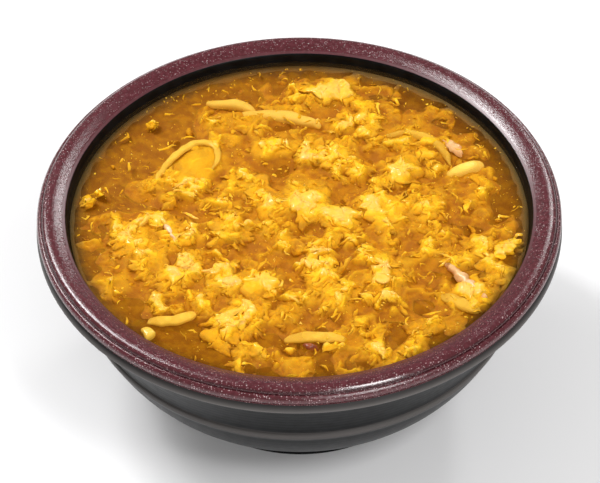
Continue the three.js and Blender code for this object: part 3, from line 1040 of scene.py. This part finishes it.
# ---------------------------------------------------------------- the egg
@dataclass
class EggLie:
    """Where the egg lies: the raft with its bays and pools, and how it rises and sinks. In millimetres."""

    radius: float = 88.0
    level: float = 0.05  # of the egg on average, above the broth
    bays: tuple = (  # bearing in degrees, spread and depth
        (141, 26, 25), (8, 16, 5), (236, 9, 10), (274, 7, 7), (292, 48, -5.5),
    )
    pools: tuple = (  # x, y, reach and depth
        (13, 11, 6.5, 3.4), (20.4, 12.2, 5, 2.6), (-25, 37, 5, 3.0), (-11, 28, 7, 2.8),
        (-67, 11, 7, 3.2), (-58, 8, 4, 2.0), (2, -6, 4.5, 2.6), (-10, -2.8, 3.5, 2.2), (-39, 2, 6, 2.2),
        (-35, -14, 3.5, 1.8), (-66, -17, 4, 2.0), (-77, -25, 5, 2.4), (-60, -28, 4.5, 2.4),
        (-37, -39, 3, 1.8), (-67, -49, 7, 2.2), (-8, -26, 4, 2.2), (19, -16, 4.5, 1.8),
        (47, 25, 5, 1.6), (60, 5, 7, 1.8), (76, -1, 7, 1.6), (66, -14, 6, 1.8), (-49, -61.6, 5, 2.6),
        (-37, -69, 6, 2.6), (-17, -63, 5, 2.2), (-4.4, -72.6, 4, 2.6), (8, -77, 5, 2.6),
        (20, -75.5, 4, 2.4), (32, -66, 3.5, 2.0), (24, -50, 3.5, 1.8), (44, -56.5, 6, 1.8),
        (1, -52, 5, 1.8), (-18.5, 65, 5, 1.6), (9, 59, 5, 1.8), (-20, 79, 7, 2.2),
    )
    mounds: tuple = (  # x, y, reach and height
        (6.6, 33, 8, 1.3), (2.6, 8.6, 6, 1.7), (5, -23.5, 8, 1.6), (24, -3, 6, 1.3),
        (-44, -23.5, 10, 1.4), (-22.4, -51, 9, 1.2), (-67, -4, 8, 0.9), (33, -68, 8, 1.1),
        (-18, 12, 6, 0.8), (-16, -1, 5, 1.3), (-42, 16, 6, 1.1), (-14, -38, 7, 1.2), (-27, -42, 6, 1.0),
        (26, -28, 6, 1.1), (14, -40, 6, 1.1), (44, 22, 9, 0.7), (14, 70, 8, 0.8), (71, -19, 6, 1.3),
    )
    smooth_spots: tuple = (((-42, 29), 10), ((-33, 34), 6), ((-12, 58), 4), ((0, 56), 3.5), ((64, 25), 4.5))
    seed: int = 411

    def __post_init__(self) -> None:
        """Draws the slow rise and fall of the egg."""
        random = np.random.default_rng(self.seed)
        self.swell = Waves(random, 26 * MM)
        self.ripple = Waves(random, 11 * MM)
        self.gaps = Waves(random, 12 * MM)

    def reach(self, angles: np.ndarray) -> np.ndarray:
        """Returns how far the egg reaches at each angle, in radians, with its bays."""
        degrees = np.degrees(angles)
        out = np.full_like(degrees, self.radius)
        for bearing, spread, depth in self.bays:
            off = (degrees - bearing + 180) % 360 - 180
            out -= depth * np.exp(-((off / spread) ** 2))
        return out

    def height(self, places: np.ndarray) -> np.ndarray:
        """Gives the lie of the egg.

        Args:
            places: x and y of each place, in millimetres.

        Returns:
            How high above the broth the egg lies there, in millimetres.
        """
        points = np.concatenate([places, np.zeros((len(places), 1))], axis=1) * MM
        rise = self.level + 0.5 * self.swell.at(points) + 0.5 * self.ripple.at(points)
        for sign, spots in ((1, self.mounds), (-1, self.pools)):
            for x, y, reach, size in spots:
                rise += sign * size * np.exp(-((places - (x, y)) ** 2).sum(axis=1) / reach**2)
        rise -= 3.6 / (1 + np.exp(-(self.gaps.at(points) - 0.45) * 6))
        return rise - 3.2 / (1 + np.exp((self.margin(places) - 4.0) / 1.8))

    def margin(self, places: np.ndarray) -> np.ndarray:
        """Returns how far each place lies inside the egg's outer edge, in millimetres."""
        out = np.linalg.norm(places, axis=1)
        return self.reach(np.arctan2(places[:, 1], places[:, 0])) - out

    def cover(self, places: np.ndarray) -> np.ndarray:
        """Returns how likely a curd is at each place, from 0 to 1."""
        chance = 1 / (1 + np.exp(-(self.margin(places) + 1.5) / 2.2))
        return chance / (1 + np.exp(-(self.height(places) - self.level + 1.6) * 1.8))

    def free(self, places: np.ndarray) -> np.ndarray:
        """Returns which places lie outside the smooth spots."""
        away = [np.linalg.norm(places - middle, axis=1) > reach for middle, reach in self.smooth_spots]
        return np.all(away, axis=0)


def scatter(
    count: int, edge: float, chance: Callable[[np.ndarray], np.ndarray], random: np.random.Generator
) -> np.ndarray:
    """Chooses places on the broth.

    Args:
        count: how many.
        edge: how far they stay from the wall, in millimetres.
        chance: gives how likely each place is to be taken, from 0 to 1.
        random: the seeded source of the draws.

    Returns:
        x and y of each, in millimetres.
    """
    chosen = np.zeros((0, 2))
    while len(chosen) < count:
        out = (BROTH_RADIUS / MM - edge) * np.sqrt(random.uniform(0, 1, 4 * count))
        turn = random.uniform(0, 2 * math.pi, 4 * count)
        places = np.stack([out * np.cos(turn), out * np.sin(turn)], axis=1)
        kept = places[random.uniform(0, 1, 4 * count) < chance(places)]
        chosen = np.concatenate([chosen, kept])[:count]
    return chosen


def skewed(span: Point, bias: float, count: int, random: np.random.Generator) -> np.ndarray:
    """Draws numbers in a span, of which small ones are commoner if the bias is above 1."""
    return span[0] + (span[1] - span[0]) * random.uniform(0, 1, count) ** bias


@dataclass(frozen=True)
class LobeLayer:
    """One layer of the soft lobes that merge in the bed. Lengths are in millimetres."""

    count: int
    reach: Point  # of a lobe's half length
    rise: Point  # of its top above the lie of the egg
    fall: Point  # how far its outline lies below its top


@dataclass
class EggBed:
    """The heap of soft egg at and under the surface, as heights on a fine grid. In millimetres."""

    lie: EggLie
    layers: tuple[LobeLayer, ...] = (
        LobeLayer(260, (4.0, 10.0), (-2.6, -1.0), (1.0, 2.2)),
        LobeLayer(650, (2.0, 6.0), (-1.4, 0.4), (1.5, 3.2)),
        LobeLayer(2400, (0.75, 2.4), (-1.1, 0.5), (1.1, 2.4)),
    )
    warps: tuple[Point, ...] = ((14.0, 2.2), (6.0, 1.1), (2.4, 0.42))  # the size of a swerve and how far
    folds: tuple[Point, ...] = ((7.0, 0.35), (3.2, 0.2))  # the size of a fold and its height
    petal: tuple = ((-39.5, 31.5), 14.0, 0.82, 0.5, -0.4, 1.2)  # middle, reach, turn, slimness, top, fall
    half: float = 88.0
    cell: float = 0.32
    merge: float = 4.0  # how sharply lobes meet, per millimetre
    sink: float = 1.0  # of its floor under the cloudy body
    soften: Point = (0.9, 3.2)  # the depths between which the lobes blur into each other
    seed: int = 977

    def __post_init__(self) -> None:
        """Heaps up the lobes."""
        random = np.random.default_rng(self.seed)
        count = int(2 * self.half / self.cell) + 1
        self.axis = np.linspace(-self.half, self.half, count)
        across, along = np.meshgrid(self.axis, self.axis, indexing="ij")
        spots = np.stack([across, along, np.zeros_like(across)], axis=-1) * MM
        radius = np.hypot(across, along)
        for size, reach in self.warps:
            across = across + reach * Waves(random, size * MM).at(spots)
            along = along + reach * Waves(random, size * MM).at(spots)
        self.crowd = np.exp(self.merge * (body_height(radius) - self.sink))
        for layer in self.layers:
            self.heap(layer, across, along, random)
        self.lay(across, along, *self.petal)
        self.heights = np.log(self.crowd) / self.merge
        shown = np.clip((self.heights + 1.6) / 1.2, 0, 1)
        for size, height in self.folds:
            ridge = np.exp(-((Waves(random, size * MM).at(spots) / 0.28) ** 2))
            self.heights += height * (ridge - 0.3) * shown
        soft = self.blur(self.heights, 36)
        sunk = np.clip((-soft - self.soften[0]) / (self.soften[1] - self.soften[0]), 0, 1)
        self.heights = self.blur(self.heights, 1) * (1 - sunk) + soft * sunk
        self.smooth = self.blur(self.heights, 9)

    def heap(
        self, layer: LobeLayer, across: np.ndarray, along: np.ndarray, random: np.random.Generator
    ) -> None:
        """Adds one layer of lobes to the heap.

        Args:
            layer: the layer.
            across: x of each grid point, as the lobes' outlines see it.
            along: y of each grid point.
            random: the seeded source of the draws.
        """
        middles = scatter(layer.count, 2.5, self.lie.cover, random)
        reach = skewed(layer.reach, 1.7, layer.count, random)
        turns = random.uniform(0, math.pi, layer.count)
        slims = random.uniform(0.35, 0.9, layer.count)
        tops = self.lie.height(middles) + random.uniform(*layer.rise, layer.count)
        falls = random.uniform(*layer.fall, layer.count)
        for lobe in zip(middles, reach, turns, slims, tops, falls):
            self.lay(across, along, *lobe)

    def lay(
        self,
        across: np.ndarray,
        along: np.ndarray,
        middle: Point,
        long: float,
        turn: float,
        slim: float,
        top: float,
        fall: float,
    ) -> None:
        """Adds one soft lobe to the heap.

        Args:
            across: x of each grid point, as the lobe's outline sees it.
            along: y of each grid point.
            middle: x and y of its middle.
            long: from its middle to its far end.
            turn: the angle of its length, in radians.
            slim: its width over its length.
            top: the height of its middle.
            fall: how far its outline lies below that.
        """
        room = 2 * long + 6
        spans = [np.searchsorted(self.axis, (m - room, m + room)) for m in middle]
        window = (slice(*spans[0]), slice(*spans[1]))
        x = across[window] - middle[0]
        y = along[window] - middle[1]
        u = (x * math.cos(turn) + y * math.sin(turn)) / long
        v = (y * math.cos(turn) - x * math.sin(turn)) / (long * slim)
        self.crowd[window] += np.exp(self.merge * (top - fall * (u**2 + v**2)))

    @staticmethod
    def blur(heights: np.ndarray, times: int) -> np.ndarray:
        """Returns the heights, each time averaged with their neighbours."""
        for _ in range(times):
            for side in (0, 1):
                heights = (np.roll(heights, 1, side) + 2 * heights + np.roll(heights, -1, side)) / 4
        return heights

    def at(self, places: np.ndarray, smooth: bool = False) -> np.ndarray:
        """Gives the height of the bed.

        Args:
            places: x and y of each place in the last axis, in millimetres.
            smooth: whether to leave out its small unevenness.

        Returns:
            The heights above the broth, in millimetres.
        """
        grid = self.smooth if smooth else self.heights
        steps = np.clip((places + self.half) / (self.axis[1] - self.axis[0]), 0, len(self.axis) - 1.001)
        base = steps.astype(int)
        i, j = base[..., 0], base[..., 1]
        u, v = (steps - base)[..., 0], (steps - base)[..., 1]
        low = grid[i, j] * (1 - v) + grid[i, j + 1] * v
        high = grid[i + 1, j] * (1 - v) + grid[i + 1, j + 1] * v
        return low * (1 - u) + high * u

    def chance(self, places: np.ndarray, over: float, stray: float) -> np.ndarray:
        """Says how likely a curd is to lie at each place.

        Args:
            places: x and y of each place, in millimetres.
            over: the height of the bed from which curds are common.
            stray: the least chance of one.

        Returns:
            The chances, from 0 to 1.
        """
        shown = 1 / (1 + np.exp((over - self.at(places, smooth=True)) * 3))
        return np.maximum(shown, stray) * self.lie.free(places)

    def form(self, steps: int, radius: float) -> Form:
        """Makes the bed's closed form: its uneven top, closed below by a shallow cone.

        Args:
            steps: how many squares the top has along each side.
            radius: how far it reaches, in millimetres.

        Returns:
            The closed form.
        """
        share = np.linspace(-1, 1, steps + 1)
        a, b = np.meshgrid(share, share, indexing="ij")
        first = np.abs(a) > np.abs(b)
        out = np.where(first, a, b)
        ratio = np.divide(np.where(first, b, a), out, out=np.zeros_like(out), where=out != 0)
        angle = np.where(first, ratio * math.pi / 4, math.pi / 2 - ratio * math.pi / 4)
        flat = np.stack([out * np.cos(angle), out * np.sin(angle)], axis=-1) * radius
        top = np.concatenate([flat, self.at(flat)[..., None]], axis=-1).reshape(-1, 3)
        number = np.arange((steps + 1) ** 2).reshape(steps + 1, steps + 1)
        quads = np.stack([number[:-1, :-1], number[1:, :-1], number[1:, 1:], number[:-1, 1:]], axis=-1)
        border = np.concatenate([number[:-1, 0], number[-1, :-1], number[:0:-1, -1], number[0, :0:-1]])
        pole = np.full(len(border), len(top))
        triangles = np.stack([pole, np.roll(border, -1), border], axis=1)
        points = np.concatenate([top, [[0, 0, top[:, 2].min() - self.sink]]])
        return points * MM + np.array([0, 0, BROTH_LEVEL]), triangles, quads.reshape(-1, 4)


CURDS = (
    CurdKind(
        "egg_sheets", 130, (4.0, 9.0), (0.35, 0.8), 0.5, 7, 36, 0.2, 0.15, 4, (-0.45, 0.3), droop=0.9
    ),
    CurdKind(
        "egg_flakes", 460, (2.0, 4.6), (0.3, 0.8), 0.42, 5, 20, 0.22, 0.2, 8, (-0.4, 0.5), 0.01, droop=0.7
    ),
    CurdKind(
        "egg_bits", 1500, (0.8, 2.2), (0.25, 0.8), 0.34, 3, 12, 0.24, 0.25, 12, (-0.3, 0.55), 0.05, droop=0.4
    ),
    CurdKind(
        "egg_shreds", 300, (1.0, 3.2), (0.1, 0.25), 0.26, 4, 12, 0.12, 0.3, 10, (-0.3, 0.3), 0.4,
        hook=0.3, afloat=-0.9, droop=0.2,
    ),
    CurdKind(
        "egg_crumbs", 2200, (0.16, 0.5), (0.25, 0.9), 0.14, 2, 6, 0.3, 0.2, 20, (-0.15, 0.4), 0.3,
        afloat=-0.6,
    ),
)


@dataclass
class Egg:
    """The egg: the bed, and the curds of several sizes that lie on it."""

    lie: EggLie = field(default_factory=EggLie)
    common: float = -1.2  # the height of the bed from which curds are common, in millimetres
    highest: float = 1.4  # above the broth, in millimetres
    deepest: float = 20.0  # under the broth, in millimetres
    folds: tuple = ((7.5, 0.9, 0.3), (3.2, 0.34, 0.2), (1.5, 0.12, 0.08))  # size, depth and rise
    bed_steps: int = 296
    bed_radius: float = 86.6
    finish: SoftFood = EGG_FINISH
    bed_finish: SoftFood = BED_FINISH
    seed: int = 2203

    def curds(self, kind: CurdKind, random: np.random.Generator) -> bpy.types.Object:
        """Makes all curds of one kind as one piece.

        Args:
            kind: the kind of curd.
            random: the seeded source of the draws.

        Returns:
            The piece.
        """
        out, angle, side, triangles, quads = sheet_layout(kind.rings, kind.sectors)
        count = kind.count
        chance = partial(self.bed.chance, over=self.common, stray=kind.stray)
        middles = scatter(count, 2.5 + kind.reach[0], chance, random)
        reach = skewed(kind.reach, kind.size_bias, count, random)
        slim = random.uniform(*kind.slimness, count)
        lobes = np.arange(1, min(14, kind.sectors // 2) + 1)
        sizes = random.normal(0, kind.torn, (count, len(lobes))) / lobes**0.6
        starts = random.uniform(0, 2 * math.pi, (count, len(lobes)))
        wave = np.cos(lobes[None, :, None] * angle[None, None] + starts[..., None])
        outline = np.clip(1 + (sizes[..., None] * wave).sum(axis=1), 0.4, 1.6)
        x = reach[:, None] * out * outline * np.cos(angle)
        y = reach[:, None] * slim[:, None] * out * outline * np.sin(angle)
        y += random.normal(0, kind.hook, count)[:, None] * x**2 / reach[:, None]
        bow = random.normal(-0.4 * kind.curl, kind.curl, (count, 2)) / reach[:, None]
        thickness = kind.thickness * random.uniform(0.6, 1.3, count)[:, None]
        half = thickness * np.sqrt(np.clip(1 - out**3, 0, 1))
        z = bow[:, :1] * x**2 + bow[:, 1:] * y**2
        z -= z.mean(axis=1, keepdims=True) + kind.droop * random.uniform(0.3, 1, count)[:, None] * out**2
        lean = np.tan(np.radians(random.normal(0, kind.tilt, count)))
        z += lean[:, None] * y + side * half
        turn = random.uniform(0, 2 * math.pi, count)[:, None]
        flat = np.stack([x * np.cos(turn) - y * np.sin(turn), x * np.sin(turn) + y * np.cos(turn)], axis=-1)
        flat += middles[:, None]
        lift = random.uniform(*kind.lift, count)[:, None]
        drape = 0.65 * self.bed.at(flat, smooth=True) + 0.35 * self.bed.at(middles, smooth=True)[:, None]
        buoyed = kind.afloat * random.uniform(0.1, 1, count)[:, None]
        drape = np.where(drape.mean(axis=1, keepdims=True) < buoyed, buoyed, drape)
        points = np.concatenate([flat, (z + drape + lift)[..., None]], axis=-1) * MM
        points[..., 2] += BROTH_LEVEL
        for crumple in self.crumples:
            points = crumple.move(points)
        tint = np.clip(random.normal(0.4, 0.3, count), 0, 1)[:, None]
        form = (self.keep_in(points), triangles, quads)
        return make_mesh(kind.name, self.material, form, tint, out[None] ** 3)

    def keep_in(self, points: np.ndarray) -> np.ndarray:
        """Returns the points, eased away from the wall, the rim and the depths."""
        level = BROTH_LEVEL
        height = points[..., 2] - level
        high = self.highest * MM
        over = height > 0.5 * high
        eased = 0.5 * high + 0.5 * high * np.tanh((height - 0.5 * high) / (0.5 * high))
        points[..., 2] = level + np.where(over, eased, np.maximum(height, -self.deepest * MM))
        radius = np.linalg.norm(points[..., :2], axis=-1)
        limit = BROTH_RADIUS - 0.7 * MM - np.maximum(0, level - points[..., 2]) * 0.15
        points[..., :2] *= np.minimum(1, limit / np.maximum(radius, MM))[..., None]
        return points

    def build(self) -> list[bpy.types.Object]:
        """Makes and dresses the egg.

        Returns:
            The bed, which stands for the egg's solid, and one piece for each kind of curd.
        """
        random = np.random.default_rng(self.seed)
        self.bed = EggBed(self.lie)
        self.material = self.finish.material()
        self.crumples = [Crumple(random, *(size * MM for size in fold)) for fold in self.folds]
        points, triangles, quads = self.bed.form(self.bed_steps, self.bed_radius)
        tint = np.clip(0.4 + 0.3 * Waves(random, 9 * MM).at(points), 0, 1)
        form = (self.keep_in(points), triangles, quads)
        bed = make_mesh("egg_bed", self.bed_finish.material(), form, tint)
        pieces = [place(bed, Slot.EGG, "egg_curds")]
        for kind in CURDS:
            pieces.append(place(self.curds(kind, random), Slot.EGG))
        return pieces


# ---------------------------------------------------------------- noodles, onion, pork and loose egg
@dataclass
class Garnish:
    """Strips of one kind, each standing for its own solid."""

    label: str
    node: str
    slot: Slot
    finish: SoftFood
    strips: tuple[Strip, ...]
    fold: Point = (6.0, 0.35)  # the size of its unevenness and how deep it is, in millimetres
    seed: int = 5
    first: int = 1  # the number of its first solid

    def build(self) -> list[bpy.types.Object]:
        """Makes and dresses the strips.

        Returns:
            One piece a strip.
        """
        random = np.random.default_rng(self.seed)
        material = self.finish.material()
        size, depth = self.fold
        crumple = Crumple(random, size * MM, depth * MM, 0.5 * depth * MM)
        pieces = []
        for number, strip in enumerate(self.strips, start=self.first):
            points, triangles, quads = strip.form()
            form = (crumple.move(points), triangles, quads)
            piece = make_mesh(f"{self.label}_{number}", material, form, tint=random.uniform(0, 0.4))
            pieces.append(place(piece, self.slot, f"{self.node}_{number}"))
        return pieces


NOODLES = (
    Strip(
        ((-24, 60.2), (-14.2, 59.4), (-7.1, 58.5), (0.8, 56), (6.2, 53.6), (8.6, 51.4)),
        2.9, 2.2, 0.25, sink=1.8, sink_end=0.3, taper=0.3, squareness=2.6,
    ),
    Strip(
        ((-36.3, 66.3), (-32.4, 65.8), (-24.9, 65.5), (-19.9, 63.4), (-16.6, 61)),
        2.2, 1.9, 0.1, sink=0.6, sink_end=1.2, taper=0.3, squareness=2.6,
    ),
    Strip(
        ((57.5, 22.4), (64.8, 26), (71.5, 28.7)),
        2.9, 2.2, 0.5, sink=0.4, sink_end=0.6, taper=0.3, squareness=2.6,
    ),
)
ONIONS = (
    Strip(
        ((-56, 18.4), (-53, 26), (-49.2, 32.4), (-44.9, 38), (-40.4, 41.5), (-35.6, 41.9), (-32, 38.4),
         (-31.2, 33), (-33.4, 26)),
        1.6, 0.9, 0.15, taper=0.4,
    ),
    Strip(
        ((32, 45), (41.8, 46.6), (51.5, 42.9), (56.6, 35.9), (58.6, 28.6)),
        2.1, 1.7, 0.4, sink=0.8, sink_end=0.6,
    ),
    Strip(((-61, -5.6), (-58.5, -1.2), (-55.1, 0.2), (-51.8, -1.8), (-49.6, -6)), 1.3, 1.5, 0.6),
    Strip(
        ((-56.4, -54.6), (-50.1, -54.9), (-44.6, -53.9), (-38.6, -51.6)),
        2.4, 1.0, 0.2, sink=0.5, taper=0.25, squareness=2.8,
    ),
    Strip(
        ((-6, -65), (-0.3, -64.1), (7.1, -64.1), (16, -65.8)),
        2.6, 1.0, 0.2, sink=0.7, taper=0.25, squareness=2.8,
    ),
    Strip(((-58.4, -59), (-55.6, -61), (-56.4, -65)), 2.1, 1.5, 0.6),
    Strip(((52, -42.6), (59.3, -47), (66, -51.6)), 2.8, 1.4, 0.1, sink=0.5, taper=0.35, squareness=2.8),
)
PORK = (
    Strip(((54, -25), (60.2, -33.6), (65.6, -40.8), (69.4, -46)), 2.0, 1.4, 0.6, sink=0.4),
    Strip(((56.4, 42.6), (60.6, 37.6), (63.4, 32.6)), 2.2, 1.5, 0.25),
    Strip(((-51.4, -3.6), (-48.8, -8.6), (-46.4, -13.6)), 1.1, 1.1, 0.7),
)
DARK_PORK = (Strip(((0.6, -69), (6.6, -69.8)), 1.3, 1.1, 0.5),)
EGG_LUMPS = (
    Strip(((-83.4, 9.2), (-78.4, 10)), 2.6, 1.9, 0.5, taper=0.6),
    Strip(((-78.2, 15), (-75.2, 13.4)), 2.1, 1.6, 0.4, taper=0.6),
    Strip(((-58.6, 53.6), (-55.6, 52.4)), 2.0, 1.6, 0.4, taper=0.6),
    Strip(((73.4, -24.4), (77.6, -19), (82.4, -14.8)), 3.4, 1.2, 0.7, taper=0.6),
)


# ---------------------------------------------------------------- the studio
@dataclass
class Studio:
    """A pale floor, soft white light and the camera at the photograph's place."""

    elevation: float = 44.261  # degrees
    distance: float = 1285.88 * MM
    aim: tuple[float, float, float] = (0.16 * MM, 0.0, 64.83 * MM)
    roll: float = -0.707  # degrees
    lens: float = 201.3
    sensor: float = 36.0
    floor_half: float = 6.0
    floor_color: str = "f1f1f2"
    floor_patch: str = "eeeeef"
    world_strength: float = 0.38
    world_color: Color = (1.0, 0.985, 0.97, 1.0)
    lights: tuple = (  # name, direction, distance, width and height in metres, and power in watts
        ("key", (-0.5, 0.39, 0.77), 1.3, (0.24, 0.5), 11.5),
        ("front_right", (0.34, -0.52, 0.78), 1.6, (0.35, 0.5), 11.0),
        ("front", (0.37, -0.8, 0.47), 1.6, (0.7, 0.08), 6.0),
        ("back_left", (-0.65, 0.55, 0.52), 1.5, (0.25, 0.35), 4.0),
        ("back_right", (0.4, 0.72, 0.57), 1.5, (0.2, 0.3), 4.0),
    )

    def camera(self) -> None:
        """Puts the camera where the photograph was taken from."""
        tilt = math.radians(self.elevation)
        back = Vector((0, -math.cos(tilt), math.sin(tilt)))
        up = Vector((0, math.sin(tilt), math.cos(tilt)))
        right = Vector((1, 0, 0))
        turn = math.radians(self.roll)
        across = right * math.cos(turn) + up * math.sin(turn)
        upward = up * math.cos(turn) - right * math.sin(turn)
        data = bpy.data.cameras.new("camera")
        data.lens = self.lens
        data.sensor_width = self.sensor
        camera = bpy.data.objects.new("camera", data)
        place_at = Matrix.Translation(Vector(self.aim) + back * self.distance)
        camera.matrix_world = place_at @ Matrix((across, upward, back)).transposed().to_4x4()
        bpy.context.scene.collection.objects.link(camera)
        bpy.context.scene.camera = camera

    def floor(self) -> None:
        """Lays the floor."""
        half = self.floor_half
        corners = [(-half, -half, 0), (half, -half, 0), (half, half, 0), (-half, half, 0)]
        mesh = bpy.data.meshes.new("floor")
        mesh.from_pydata(corners, [], [(0, 1, 2, 3)])
        coat = Coating("pale_floor")
        tone = coat.mottle(linear(self.floor_color), self.floor_patch, 0.4, 0.4)["Color"]
        mesh.materials.append(coat.shade({"Base Color": tone, "Roughness": 0.6}))
        floor = bpy.data.objects.new("floor", mesh)
        bpy.context.scene.collection.objects.link(floor)

    def softbox(self, name: str, direction: tuple, distance: float, size: Point, power: float) -> None:
        """Hangs a soft light that faces the bowl.

        Args:
            name: the light's name.
            direction: where it is, seen from the bowl.
            distance: how far away, in metres.
            size: its width and height, in metres.
            power: in watts.
        """
        data = bpy.data.lights.new(name, "AREA")
        data.shape = "RECTANGLE"
        data.size, data.size_y = size
        data.energy = power
        light = bpy.data.objects.new(name, data)
        towards = Vector(direction).normalized()
        light.location = Vector((0, 0, 0.08)) + towards * distance
        light.rotation_mode = "QUATERNION"
        light.rotation_quaternion = towards.to_track_quat("Z", "Y")
        bpy.context.scene.collection.objects.link(light)

    def build(self) -> None:
        """Sets up the camera, the floor and the light."""
        self.camera()
        self.floor()
        world = bpy.data.worlds.new("studio")
        world.use_nodes = True
        world.node_tree.nodes["Background"].inputs["Color"].default_value = self.world_color
        world.node_tree.nodes["Background"].inputs["Strength"].default_value = self.world_strength
        bpy.context.scene.world = world
        bpy.context.scene.view_settings.view_transform = "Standard"
        for light in self.lights:
            self.softbox(*light)


# ---------------------------------------------------------------- the whole
def main() -> None:
    """Builds the studio and then each part of the bowl of udon, and writes how large it came out."""
    logging.basicConfig(level=logging.INFO, format="%(message)s")
    Studio().build()
    bowl = Bowl()
    groups = {"bowl": [bowl.build()], "broth": Broth().build(bowl), "egg": Egg().build()}
    garnishes = (
        Garnish("noodle", "udon_noodle", Slot.NOODLE, NOODLE_FINISH, NOODLES, fold=(9.0, 0.3), seed=11),
        Garnish("onion", "onion_slice", Slot.ONION, ONION_FINISH, ONIONS, fold=(6.0, 0.25), seed=12),
        Garnish("pork", "pork_shred", Slot.PORK, PORK_FINISH, PORK, fold=(3.5, 0.45), seed=13),
        Garnish("dark_pork", "pork_shred", Slot.PORK, DARK_PORK_FINISH, DARK_PORK, fold=(3.5, 0.45), first=4),
        Garnish("loose_egg", "egg_lump", Slot.EGG, EGG_FINISH, EGG_LUMPS, fold=(2.4, 0.8), seed=14),
    )
    for garnish in garnishes:
        groups[garnish.label] = garnish.build()
    for label, pieces in groups.items():
        faces = sum(len(piece.data.polygons) for piece in pieces)
        LOG.info("%s: %d pieces, %d faces", label, len(pieces), faces)


if __name__ == "__main__":
    main()
